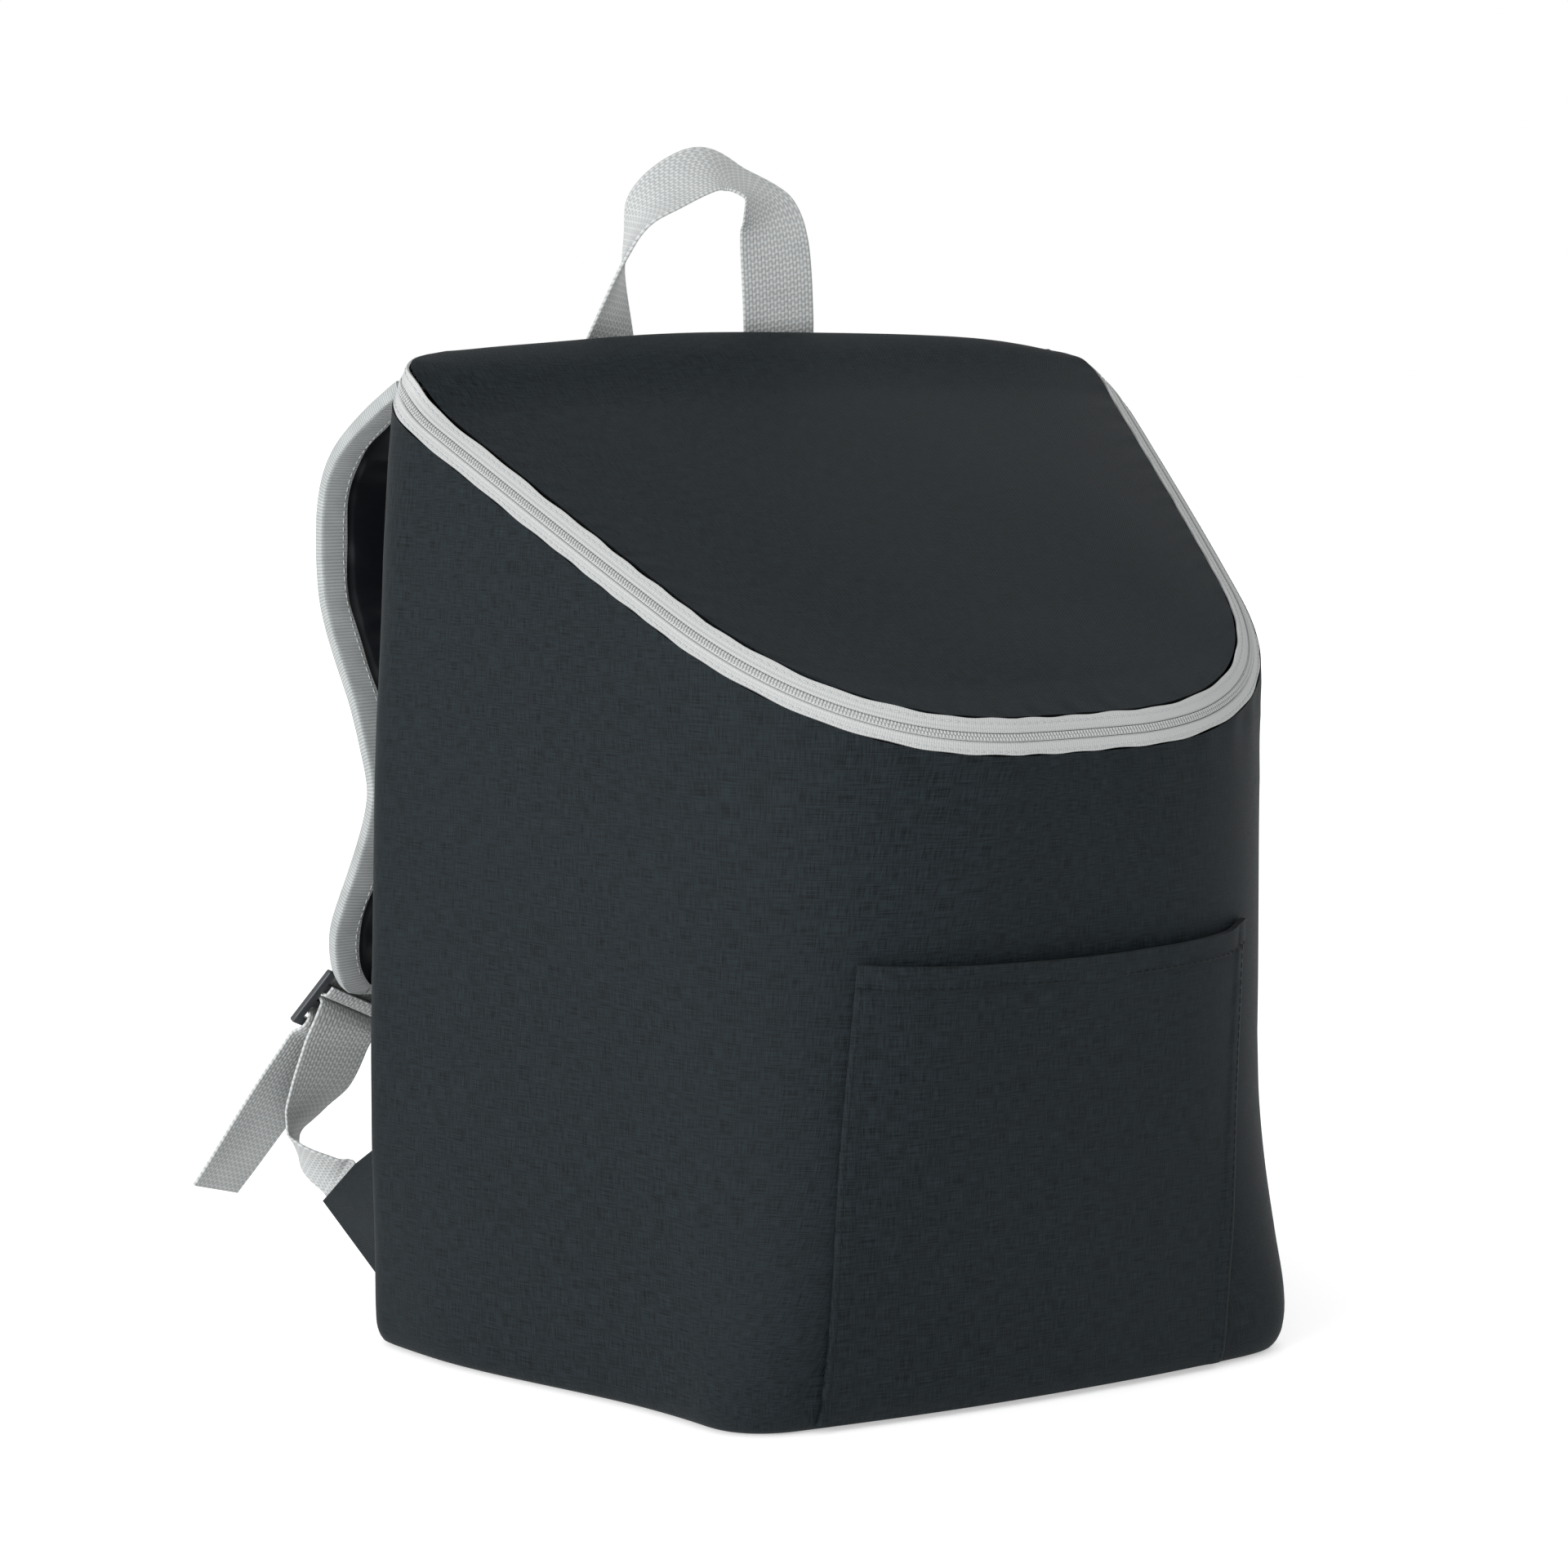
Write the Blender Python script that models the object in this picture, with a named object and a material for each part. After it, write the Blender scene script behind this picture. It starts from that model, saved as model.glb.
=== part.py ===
"""Insulated cooler backpack: tapered cloth body, sloping zip lid, front pocket, haul loop, two shoulder straps.

The bag stands on the floor. Z is up, the front faces -Y, the straps are on the +Y side, and the origin is on
the floor under the middle of the base. Sizes are in millimetres and turn into metres when a mesh is made.
"""
import math
from collections import namedtuple

import bpy
from mathutils import Vector

MM = 0.001
GAP = 0.3

# Driving dimensions of the body
BACK_Y = 96.0
BACK_LEAN, BACK_LEAN_FROM, BACK_LEAN_TO = 6.0, 230.0, 345.0
FRONT_Y = -88.0
FRONT_LEAN = 26.0
ZIP_BACK_HEIGHT = 340.0
ZIP_FRONT_HEIGHT = 230.0
WALL = 4.0
BACK_RETURN = 6.0
TAPE_WIDTH = 13.0
FRONT_TILT, SIDE_TILT, BACK_TILT_LEFT, BACK_TILT_RIGHT = 20.0, 48.0, 24.0, 60.0
SIDE_FACING = -0.3
LID_HEIGHT = 357.0
LID_ROLL = 8.0
WEBBING_WIDTH = 30.0
WEBBING = 1.4

# Plan of the body at a few heights: half width at the back and at the front, length of the front corner's
# rounding along each side of it, the same for the back corner, bow of the front, and S-shaped wave of the side.
Plan = namedtuple("Plan", "z back_half front_half corner back_corner bow wave")
PLANS = (
    Plan(0, 165.0, 117.5, 24, 14, 9.0, 4.0),
    Plan(18, 165.5, 118.0, 25, 14, 9.0, 4.0),
    Plan(43, 166.0, 113.0, 34, 14, 8.5, 3.0),
    Plan(67, 166.5, 108.0, 42, 14, 8.0, 2.0),
    Plan(91, 166.5, 104.0, 48, 14, 7.5, 1.0),
    Plan(115, 166.5, 101.5, 52, 14, 7.0, 0.5),
    Plan(162, 165.5, 99.5, 60, 14, 6.5, 0.0),
    Plan(208, 165.0, 98.5, 68, 17, 6.0, 0.0),
    Plan(234, 165.0, 98.0, 74, 20, 5.5, 0.0),
    Plan(280, 164.5, 98.0, 76, 27, 5.0, 0.0),
    Plan(320, 162.5, 98.0, 76, 33, 5.0, 0.0),
    Plan(345, 161.5, 98.0, 76, 36, 5.0, 0.0),
)

# Foot of the wrap: how far its outer face is drawn in at the height of each row
Foot = namedtuple("Foot", "z inset")
FOOT = (Foot(0.0, 5.0), Foot(1.5, 2.4), Foot(4.5, 0.7), Foot(9.0, 0.0))
WALL_SHARES = (0.08, 0.19, 0.31, 0.44, 0.56, 0.69, 0.77, 0.85, 0.93, 0.97, 1.0)

# A row for each station of a strap: middle, and the turn and rise of its width from the +X direction
Station = namedtuple("Station", "x y z turn rise")
HAUL_LOOP = (
    Station(-55.5, 102.2, 312, 0, 0),
    Station(-55.5, 103.4, 336, 0, 0),
    Station(-55.0, 106.4, 347, 12, 0),
    Station(-54.0, 108.5, 358, 27, 0),
    Station(-49.0, 108.0, 385.5, 59, 6),
    Station(-40.5, 105.5, 405.5, 66, 30),
    Station(-17.0, 104.5, 419.5, 62, 32),
    Station(-1.0, 101.5, 415, 40, 4),
    Station(7.5, 97.5, 404.5, 12, -8),
    Station(9.5, 97.0, 390.5, 2, 0),
    Station(12.5, 100.5, 366, 0, 0),
    Station(14.5, 103.6, 350, 0, 0),
    Station(15.5, 103.4, 336, 0, 0),
    Station(15.5, 102.2, 312, 0, 0),
)
PAD = (
    Station(-120.5, 104.3, 341.0, 0, 0),
    Station(-123.5, 121.0, 331.5, 0, 0),
    Station(-125.5, 139.0, 319.5, 0, 0),
    Station(-126.8, 149.0, 306.5, 0, 0),
    Station(-127.5, 152.5, 289.0, 0, 0),
    Station(-127.5, 150.5, 264.0, 0, 0),
    Station(-127.3, 139.5, 244.5, 0, 0),
    Station(-126.8, 128.5, 229.0, 0, 0),
    Station(-126.3, 120.0, 211.5, 0, 0),
    Station(-126.0, 115.5, 196.0, 0, -3),
    Station(-126.8, 120.5, 180.0, 3, -6),
    Station(-128.6, 130.5, 161.5, 8, -11),
    Station(-131.5, 139.5, 142.5, 12, -17),
    Station(-131.5, 145.0, 126.5, 14, -22),
    Station(-131.0, 147.5, 119.5, 15, -24),
)

# Adjuster webbing from the corner tab up to the ladder lock, and its free tail
LOWER_WEBBING = (
    Station(-145.4, 155.3, 45.1, 88, -34),
    Station(-155.8, 162.3, 52.9, 70, -28),
    Station(-159.1, 167.1, 61.4, 59, -9),
    Station(-155.4, 165.5, 70.3, 38, -7),
    Station(-150.7, 160.1, 81.7, 17, -7),
    Station(-146.2, 155.5, 97.0, 15, -20),
)
TAIL = (
    Station(-149.9, 162.8, 96.6, 17, -24),
    Station(-158.5, 169.5, 82.5, 21, -21),
    Station(-166.5, 174.8, 68.9, 25, -19),
    Station(-175.0, 180.2, 54.5, 29, -18),
    Station(-183.0, 185.2, 40.7, 32, -17),
)

# Ladder lock: its upper middle, the way it runs down the strap, and the way its width lies
LOCK_TOP = Vector((-136.3, 151.5, 118.8))
LOCK_RUN = Vector((-0.485, 0.376, -0.789))
LOCK_TURN, LOCK_RISE = 15, -25

# Corner tab: its seam on the back, and the edge that holds the webbing
TAB_SEAM_X, TAB_SEAM_TOP, TAB_SEAM_FOOT = -146.0, 78.0, 6.0
TAB_UPPER = Vector((-145.2, 141.5, 54.1))
TAB_LOWER = Vector((-146.3, 167.4, 35.2))
TAB_CLOTH = 2.0


def lerp(a, b, t):
    return a + (b - a) * t


def smooth_between(rows, key, value):
    """Fields of a table of rows at one key, eased from row to row by a monotone-looking cubic."""
    keys = [getattr(row, key) for row in rows]
    value = min(max(value, keys[0]), keys[-1])
    i = max(k for k in range(len(rows) - 1) if keys[k] <= value)
    t = (value - keys[i]) / (keys[i + 1] - keys[i])
    before, after = rows[max(i - 1, 0)], rows[min(i + 2, len(rows) - 1)]
    fields = zip(before, rows[i], rows[i + 1], after)
    return type(rows[0])(*(cubic(*four, t) for four in fields))


def cubic(a, b, c, d, t):
    """Catmull-Rom value between b and c."""
    return b + 0.5 * t * (c - a + t * (2 * a - 5 * b + 4 * c - d + t * (3 * (b - c) + d - a)))


def front_line(z):
    """Y of the straight line through the front corners at height z."""
    return FRONT_Y - FRONT_LEAN * min(z / ZIP_FRONT_HEIGHT, 1.0)


def back_line(z):
    """Y of the back, which leans out a little under the pull of the straps."""
    t = min(max((z - BACK_LEAN_FROM) / (BACK_LEAN_TO - BACK_LEAN_FROM), 0.0), 1.0)
    return BACK_Y + BACK_LEAN * t * t * (3 - 2 * t)


def quad_bezier(a, b, c, t):
    return a * (1 - t) ** 2 + b * 2 * t * (1 - t) + c * t * t


FRONT_STEPS, CORNER_STEPS, SIDE_STEPS, BACK_STEPS = 4, 7, 8, 4


def half_plan(z):
    """Right half of the body's outline at height z, from the middle of the front to the back seam."""
    plan = smooth_between(PLANS, "z", z)
    line_y = front_line(z)
    corner = Vector((plan.front_half, line_y))
    back = Vector((plan.back_half, back_line(z)))
    along = (back - corner).normalized()
    outward = Vector((along.y, -along.x))
    front_end = plan.front_half - plan.corner

    def front(x):
        return Vector((x, line_y - plan.bow * (1 - (x / plan.front_half) ** 2)))

    def side(t):
        wave = -plan.wave * math.sin(2 * math.pi * t)
        return corner.lerp(back, t) + outward * wave

    length = (back - corner).length
    side_start, side_end = plan.corner / length, 1 - plan.back_corner / length
    points = [front(front_end * i / FRONT_STEPS) for i in range(FRONT_STEPS)]
    start, end = front(front_end), side(side_start)
    points += [quad_bezier(start, corner, end, i / CORNER_STEPS) for i in range(CORNER_STEPS)]
    points += [side(lerp(side_start, side_end, i / SIDE_STEPS)) for i in range(SIDE_STEPS)]
    start, end = side(side_end), back - Vector((plan.back_corner, 0))
    points += [quad_bezier(start, back, end, i / BACK_STEPS) for i in range(BACK_STEPS + 1)]
    return points + [back - Vector((plan.back_corner + BACK_RETURN, 0))]


def plan_outline(z):
    """Whole outline at height z from the left back seam round the front to the right one, with outward normals."""
    half = half_plan(z)
    points = [Vector((-p.x, p.y)) for p in reversed(half[1:])] + half
    normals = []
    for i in range(len(points)):
        chord = (points[min(i + 1, len(points) - 1)] - points[max(i - 1, 0)]).normalized()
        normals.append(Vector((chord.y, -chord.x)))
    return points, normals


def zip_height(y):
    """Height of the wrap's top edge, a straight slope in side view."""
    share = (BACK_Y - y) / (BACK_Y - FRONT_Y + FRONT_LEAN)
    return ZIP_BACK_HEIGHT + (ZIP_FRONT_HEIGHT - ZIP_BACK_HEIGHT) * share


def wall_point(column, z, inset=0.0):
    points, normals = plan_outline(z)
    place = points[column] - normals[column] * inset
    return Vector((place.x, place.y, z))


COLUMNS = len(plan_outline(0.0)[0])


def zip_line():
    """Outer points of the wrap's top edge and the outward normals there."""
    line = []
    for column in range(COLUMNS):
        z = ZIP_BACK_HEIGHT
        for _ in range(12):
            points, normals = plan_outline(z)
            z = zip_height(points[column].y)
        points, normals = plan_outline(z)
        normal = normals[column]
        line.append((Vector((points[column].x, points[column].y, z)), Vector((normal.x, normal.y, 0))))
    return line


ZIP_LINE = zip_line()
HEM_HEIGHT = ZIP_LINE[0][0].z + 1.8


def tape_tilt(point, outward):
    """Degrees that the tape leans inward at a point of the zip line, by how far the wall faces the back."""
    facing = outward.y
    back_tilt = BACK_TILT_RIGHT if point.x > 0 else BACK_TILT_LEFT
    if facing < SIDE_FACING:
        return lerp(FRONT_TILT, SIDE_TILT, (facing + 1) / (SIDE_FACING + 1))
    t = (facing - SIDE_FACING) / (1 - SIDE_FACING)
    return lerp(SIDE_TILT, back_tilt, t * t * (3 - 2 * t))


def tape_frames():
    """At each column: point on the zip line, direction across the tape (up and inward) and its outward normal."""
    frames = []
    for i, (point, outward) in enumerate(ZIP_LINE):
        ahead, behind = ZIP_LINE[min(i + 1, COLUMNS - 1)][0], ZIP_LINE[max(i - 1, 0)][0]
        tangent = (ahead - behind).normalized()
        upward = tangent.cross(outward)
        upward = (upward if upward.z > 0 else -upward).normalized()
        tilt = math.radians(tape_tilt(point, outward))
        across = upward * math.cos(tilt) - outward * math.sin(tilt)
        frames.append((point, across, outward * math.cos(tilt) + upward * math.sin(tilt), outward))
    return frames


def make_object(name, vertices, faces, material, smooth=True):
    mesh = bpy.data.meshes.new(name)
    mesh.from_pydata([tuple(Vector(v) * MM) for v in vertices], [], faces)
    mesh.update()
    if smooth:
        mesh.shade_smooth()
        mesh.set_sharp_from_angle(angle=math.radians(40))
    mesh.materials.append(material)
    thing = bpy.data.objects.new(name, mesh)
    bpy.context.scene.collection.objects.link(thing)
    return thing


def material(name, colour, roughness, metallic=0.0):
    result = bpy.data.materials.new(name)
    result.use_nodes = True
    shader = result.node_tree.nodes["Principled BSDF"]
    shader.inputs["Base Color"].default_value = (*colour, 1)
    shader.inputs["Roughness"].default_value = roughness
    shader.inputs["Metallic"].default_value = metallic
    return result


def sheet_solid(outer, inner):
    """Closed wall between two grids of points of the same size; the outer grid's rows run upwards."""
    rows, columns = len(outer), len(outer[0])
    vertices = [p for row in outer for p in row] + [p for row in inner for p in row]
    shift = rows * columns

    def at(row, column, layer):
        return layer * shift + row * columns + column

    faces = []
    for r in range(rows - 1):
        for c in range(columns - 1):
            faces.append((at(r, c, 0), at(r, c + 1, 0), at(r + 1, c + 1, 0), at(r + 1, c, 0)))
            faces.append((at(r + 1, c, 1), at(r + 1, c + 1, 1), at(r, c + 1, 1), at(r, c, 1)))
    for c in range(columns - 1):
        faces.append((at(0, c, 1), at(0, c + 1, 1), at(0, c + 1, 0), at(0, c, 0)))
        faces.append((at(rows - 1, c, 0), at(rows - 1, c + 1, 0), at(rows - 1, c + 1, 1), at(rows - 1, c, 1)))
    for r in range(rows - 1):
        faces.append((at(r, 0, 0), at(r + 1, 0, 0), at(r + 1, 0, 1), at(r, 0, 1)))
        faces.append((at(r, columns - 1, 1), at(r + 1, columns - 1, 1), at(r + 1, columns - 1, 0),
                      at(r, columns - 1, 0)))
    return vertices, faces


def swept_solid(rings, cap):
    """Closed solid through rings of points; cap lists the faces of one ring's end in the order of its points."""
    count = len(rings[0])
    vertices = [p for ring in rings for p in ring]
    faces = []
    for r in range(len(rings) - 1):
        for i in range(count):
            j = (i + 1) % count
            faces.append((r * count + i, r * count + j, (r + 1) * count + j, (r + 1) * count + i))
    last = (len(rings) - 1) * count
    faces += [tuple(reversed(face)) for face in cap]
    faces += [tuple(last + i for i in face) for face in cap]
    return vertices, faces


def mirrored(vertices, faces):
    return [Vector((-v[0], v[1], v[2])) for v in vertices], [tuple(reversed(face)) for face in faces]


def make_pair(name, shape, finish, smooth=True):
    """The left piece as modelled and its mirror image on the right."""
    make_object(name + "_left", *shape, finish, smooth)
    make_object(name + "_right", *mirrored(*shape), finish, smooth)


def wall_levels(top):
    """Heights of the rows of points up a wall that ends at top, above those of the foot."""
    return [lerp(FOOT[-1].z, top, share) for share in WALL_SHARES]


def side_wrap(cloth):
    """Wall from the back left seam round the front to the back right one, its top edge square to the tape."""
    outer, inner = [], []
    for foot in FOOT:
        outer.append([wall_point(c, foot.z, foot.inset) for c in range(COLUMNS)])
        inner.append([wall_point(c, foot.z, foot.inset + WALL) for c in range(COLUMNS)])
    for levels in zip(*(wall_levels(point.z) for point, _ in ZIP_LINE)):
        outer.append([wall_point(c, z) for c, z in enumerate(levels)])
        inner.append([wall_point(c, z, WALL) for c, z in enumerate(levels)])
    for c, (point, outward) in enumerate(ZIP_LINE):
        drop = WALL * math.tan(math.radians(tape_tilt(point, outward)))
        inner[-1][c] = wall_point(c, point.z - drop, WALL)
    make_object("side_wrap", *sheet_solid(outer, inner), cloth)


def back_panel(cloth):
    """Flat panel between the two ends of the wrap, from the floor up to the lid's hem."""
    levels = [foot.z for foot in FOOT] + wall_levels(ZIP_LINE[0][0].z) + [HEM_HEIGHT - GAP]
    outer, inner = [], []
    for z in levels:
        plan = smooth_between(PLANS, "z", z)
        half = plan.back_half - plan.back_corner - BACK_RETURN - GAP
        drawn_in = next((foot.inset for foot in FOOT if foot.z == z), 0.0)
        y = back_line(z) - drawn_in
        outer.append([Vector((half * side, y, z)) for side in (1, 0, -1)])
        inner.append([Vector((half * side, y - WALL, z)) for side in (1, 0, -1)])
    make_object("back_panel", *sheet_solid(outer, inner), cloth)


def base_panel(cloth):
    inset = FOOT[0].inset + WALL + GAP
    ring = [wall_point(c, 0.0, inset) for c in range(COLUMNS)]
    rear = BACK_Y - FOOT[0].inset - WALL - GAP
    ring = [Vector((p.x, min(p.y, rear), 0)) for p in ring]
    cap = [tuple(range(len(ring)))]
    lifted = [p + Vector((0, 0, WALL)) for p in ring]
    make_object("base_panel", *swept_solid([ring, lifted], cap), cloth, smooth=False)


def lid(cloth, frames):
    """Crowned flap over the zip, rolled over the top of the back down to its hem."""
    edge = []
    for point, across, _, outward in frames:
        edge.append(point + across * TAPE_WIDTH - outward * 1.5 + Vector((0, 0, 0.3)))
    corner = BACK_STEPS + 1 + SIDE_STEPS + CORNER_STEPS // 2
    left, front = edge[:corner + 1], edge[corner:COLUMNS - corner]
    right = list(reversed(edge[COLUMNS - 1 - corner:]))
    rows, columns = len(left), len(front)
    half = -left[0].x - GAP
    left[0] = Vector((-half, left[0].y, left[0].z))
    right[0] = Vector((half, right[0].y, right[0].z))

    def back_edge(u):
        straight = left[0].lerp(right[0], u)
        return straight + Vector((0, 0, (LID_HEIGHT - straight.z) * (1 - abs(2 * u - 1) ** 2.4)))

    def crown(u, v):
        across = 1 - abs(2 * u - 1) ** 3
        return 7.0 * across * (1 - v ** 4) * math.sin(math.pi * min(v + 0.08, 1.0)) ** 0.5

    outer = []
    for r in range(rows):
        v = r / (rows - 1)
        row = []
        for c in range(columns):
            u = c / (columns - 1)
            ruled = back_edge(u).lerp(front[c], v) + left[r].lerp(right[r], u)
            corners = left[0].lerp(right[0], u).lerp(left[-1].lerp(right[-1], u), v)
            row.append(ruled - corners + Vector((0, 0, crown(u, v))))
        outer.append(row)
    roll = []
    for angle in (90, 60, 30, 0):
        turn = math.radians(angle)
        roll.append([Vector((p.x, lerp(p.y, back_line(HEM_HEIGHT), math.cos(turn)),
                             p.z + roll_depth(p) * (math.sin(turn) - 1))) for p in outer[0]])
    hem = [Vector((p.x, back_line(HEM_HEIGHT), HEM_HEIGHT)) for p in outer[0]]
    grid = list(reversed(outer)) + roll[1:] + [hem]
    inner = inner_layer(grid, WALL)
    make_object("lid", *sheet_solid(grid, inner), cloth)


def roll_depth(point):
    """Height of the lid's roll over the back, less where the lid lies low."""
    return min(LID_ROLL, 0.75 * (point.z - HEM_HEIGHT))


def inner_layer(grid, thickness):
    """Copy of a grid moved along its inward normals, drawn in at its free edges."""
    rows, columns = len(grid), len(grid[0])
    inner = []
    for r in range(rows):
        row = []
        for c in range(columns):
            across = grid[r][min(c + 1, columns - 1)] - grid[r][max(c - 1, 0)]
            along = grid[min(r + 1, rows - 1)][c] - grid[max(r - 1, 0)][c]
            normal = across.cross(along).normalized()
            row.append(grid[r][c] - normal * thickness)
        inner.append(row)
    draw_in = 3.0
    for c in range(columns):
        step = (inner[1][c] - inner[0][c]).normalized()
        inner[0][c] = inner[0][c] + step * draw_in
    for r in range(rows):
        for first, second in ((0, 1), (columns - 1, columns - 2)):
            if inner[r][first].y < back_line(HEM_HEIGHT) - WALL - 1:
                step = (inner[r][second] - inner[r][first]).normalized()
                inner[r][first] = inner[r][first] + step * draw_in
    return inner


def tape(name, frames, start, end, thickness, rise, finish):
    """Strip along the zip line between two distances across the tape; rise lifts its outer face."""
    rings = []
    for point, across, normal, _ in frames:
        low, high = point + across * start, point + across * end
        lift, sink = normal * rise, normal * (rise - thickness)
        rings.append([low + lift, low + sink, high + sink, high + lift])
    make_object(name, *swept_solid(rings, [(0, 1, 2, 3)]), finish)


def zip_slider(plastic, frames):
    """Slider body with its pull hanging down, as one piece at the right end of the zip on the back."""
    point, across, normal, _ = frames[-1]
    side = Vector((1, 0, 0))
    seat = point + across * 6.4 + side * 7.0
    levels = ((1.1, 0.0, 4.0, 4.6), (3.6, 0.0, 4.0, 4.6), (3.6, -1.0, 2.0, 2.2), (5.0, -1.0, 2.0, 2.2))
    rings = [box_ring(seat + across * shift + normal * out, across, side, high, wide)
             for out, shift, high, wide in levels]
    make_object("zip_slider", *swept_solid(rings, [(0, 1, 2, 3)]), plastic, smooth=False)


def box_ring(middle, up, side, half_up, half_side):
    return [middle - up * half_up - side * half_side, middle + up * half_up - side * half_side,
            middle + up * half_up + side * half_side, middle - up * half_up + side * half_side]


def front_surface(x, z):
    """Point on the outside of the front at x and its outward normal."""
    points, normals = plan_outline(z)
    for i in range(COLUMNS - 1):
        if points[i].x <= x <= points[i + 1].x and points[i].y < 0:
            t = (x - points[i].x) / (points[i + 1].x - points[i].x)
            place = points[i].lerp(points[i + 1], t)
            normal = normals[i].lerp(normals[i + 1], t).normalized()
            return Vector((place.x, place.y, z)), Vector((normal.x, normal.y, 0))
    raise ValueError("x is off the front")


POCKET_TOP, POCKET_FOOT = 160.0, 4.0
POCKET_HALF, POCKET_FOOT_LEFT = 78.0, 88.0
POCKET_CLOTH = 1.5
POCKET_GAPE = 3.0
POCKET_HEM = 8.5


def front_pocket(cloth):
    """Patch sewn down at its sides and foot, standing a little open along its hemmed top."""
    fold = POCKET_TOP - POCKET_HEM
    heights = [POCKET_FOOT, 20, 40, 62, 90, 118, 138, fold, fold + 0.8, POCKET_TOP]
    shares = [-1, -0.96, -0.8, -0.55, -0.28, 0, 0.28, 0.55, 0.8, 0.96, 1]
    outer, inner = [], []
    for z in heights:
        rise = (z - POCKET_FOOT) / (POCKET_TOP - POCKET_FOOT)
        left_half = lerp(POCKET_FOOT_LEFT, POCKET_HALF, rise)
        hem = 0.9 if z > fold else 0.0
        front_row, back_row = [], []
        for share in shares:
            dip = 2.5 * (1 - share * share) * rise ** 4
            half = left_half if share < 0 else POCKET_HALF
            place, normal = front_surface(half * share, z - dip)
            stand = GAP + 0.4 + POCKET_GAPE * rise ** 3 * (1 - share ** 4)
            back_row.append(place + normal * stand)
            front_row.append(place + normal * (stand + POCKET_CLOTH + hem))
        outer.append(front_row)
        inner.append(back_row)
    make_object("front_pocket", *sheet_solid(outer, inner), cloth)


def strap_path(stations, per_span):
    """Smooth stations through the table: middle, width direction and outward normal at each."""
    rows = []
    for i in range(len(stations) - 1):
        four = [stations[min(max(i + k, 0), len(stations) - 1)] for k in (-1, 0, 1, 2)]
        for step in range(per_span):
            rows.append(Station(*(cubic(*fields, step / per_span) for fields in zip(*four))))
    rows.append(stations[-1])
    middles = [Vector((row.x, row.y, row.z)) for row in rows]
    frames = []
    for i, row in enumerate(rows):
        tangent = (middles[min(i + 1, len(rows) - 1)] - middles[max(i - 1, 0)]).normalized()
        width = width_direction(row.turn, row.rise)
        width = (width - tangent * width.dot(tangent)).normalized()
        frames.append((middles[i], width, tangent.cross(width)))
    return frames


def width_direction(turn, rise):
    turn, rise = math.radians(turn), math.radians(rise)
    return Vector((math.cos(turn) * math.cos(rise), math.sin(turn) * math.cos(rise), math.sin(rise)))


def webbing_shape(frames, width=WEBBING_WIDTH, thickness=WEBBING):
    rings = []
    for middle, across, normal in frames:
        half, skin = across * (width / 2), normal * (thickness / 2)
        rings.append([middle - half - skin, middle + half - skin, middle + half + skin, middle - half + skin])
    return swept_solid(rings, [(0, 1, 2, 3)])


PAD_HALF = 25.0
PAD_THICK = 5.0
PAD_TAPER = 30.0
BINDING = 1.1
BINDING_DEPTH = 10.5


def pad_frames():
    return strap_path(PAD, 2)


def pad_half_width(distance):
    """Half width of the pad at a distance from its lower end, which is rounded."""
    if distance >= PAD_TAPER:
        return PAD_HALF
    return PAD_HALF * (0.48 + 0.52 * math.sqrt(1 - (1 - distance / PAD_TAPER) ** 2))


def pad_rows():
    """Frames of the pad with the half width and the share of its padding at each."""
    frames = pad_frames()
    rows, distance = [], 0.0
    for i in range(len(frames) - 1, -1, -1):
        if i < len(frames) - 1:
            distance += (frames[i + 1][0] - frames[i][0]).length
        rows.append((*frames[i], pad_half_width(distance), min(max((distance - 11.5) / 8, 0.0), 1.0)))
    return list(reversed(rows))


def strap_pad(cloth):
    """Padded strap, thinner where its edge goes into the binding."""
    rings = []
    for middle, across, normal, half, padding in pad_rows():
        edge = half - BINDING - GAP
        core = edge - BINDING_DEPTH
        thick, thin = normal * (PAD_THICK / 2 - BINDING * (1 - padding)), normal * (PAD_THICK / 2 - BINDING)
        face = [(-edge, thin), (-core, thin), (2 - core, thick), (core - 2, thick), (core, thin), (edge, thin)]
        ring = [middle + across * x - skin for x, skin in face]
        ring += [middle + across * x + skin for x, skin in reversed(face)]
        rings.append(ring)
    cap = [(0, 1, 10, 11), (1, 2, 9, 10), (2, 3, 8, 9), (3, 4, 7, 8), (4, 5, 6, 7)]
    make_pair("strap_pad", swept_solid(rings, cap), cloth)


def strap_binding(tape_cloth):
    """Tape folded over the pad's edge: down the outer side, round the end and up the inner side."""
    rows = pad_rows()
    path = [(middle - across * half, across, normal) for middle, across, normal, half, _ in rows]
    last_middle, last_across, last_normal, last_half, _ = rows[-1]
    downward = (rows[-1][0] - rows[-2][0]).normalized()
    for share in (-0.5, 0, 0.5):
        fold = last_middle + last_across * last_half * share + downward * BINDING * 1.5
        path.append((fold, -downward, last_normal))
    path += [(middle + across * half, -across, normal) for middle, across, normal, half, _ in reversed(rows)]
    rings = []
    for edge, inward, normal in path:
        out, slot = normal * (PAD_THICK / 2), normal * (PAD_THICK / 2 - BINDING + GAP)
        bottom = inward * BINDING
        tip = inward * BINDING_DEPTH
        rings.append([edge - slot + tip, edge - slot + bottom, edge + slot + bottom, edge + slot + tip,
                      edge + out + tip, edge + out, edge - out, edge - out + tip])
    cap = [(0, 1, 6, 7), (1, 2, 5, 6), (2, 3, 4, 5)]
    make_pair("strap_binding", swept_solid(rings, cap), tape_cloth)


def lock_axes():
    across = width_direction(LOCK_TURN, LOCK_RISE)
    run = (LOCK_RUN - across * LOCK_RUN.dot(across)).normalized()
    return run, across, across.cross(run)


def lock_place(run_mm, out_mm, across_mm=0.0):
    """Point in the lock's own frame: down the strap, outward from the body, and across."""
    run, across, outward = lock_axes()
    return LOCK_TOP + run * run_mm + outward * out_mm + across * across_mm


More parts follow.
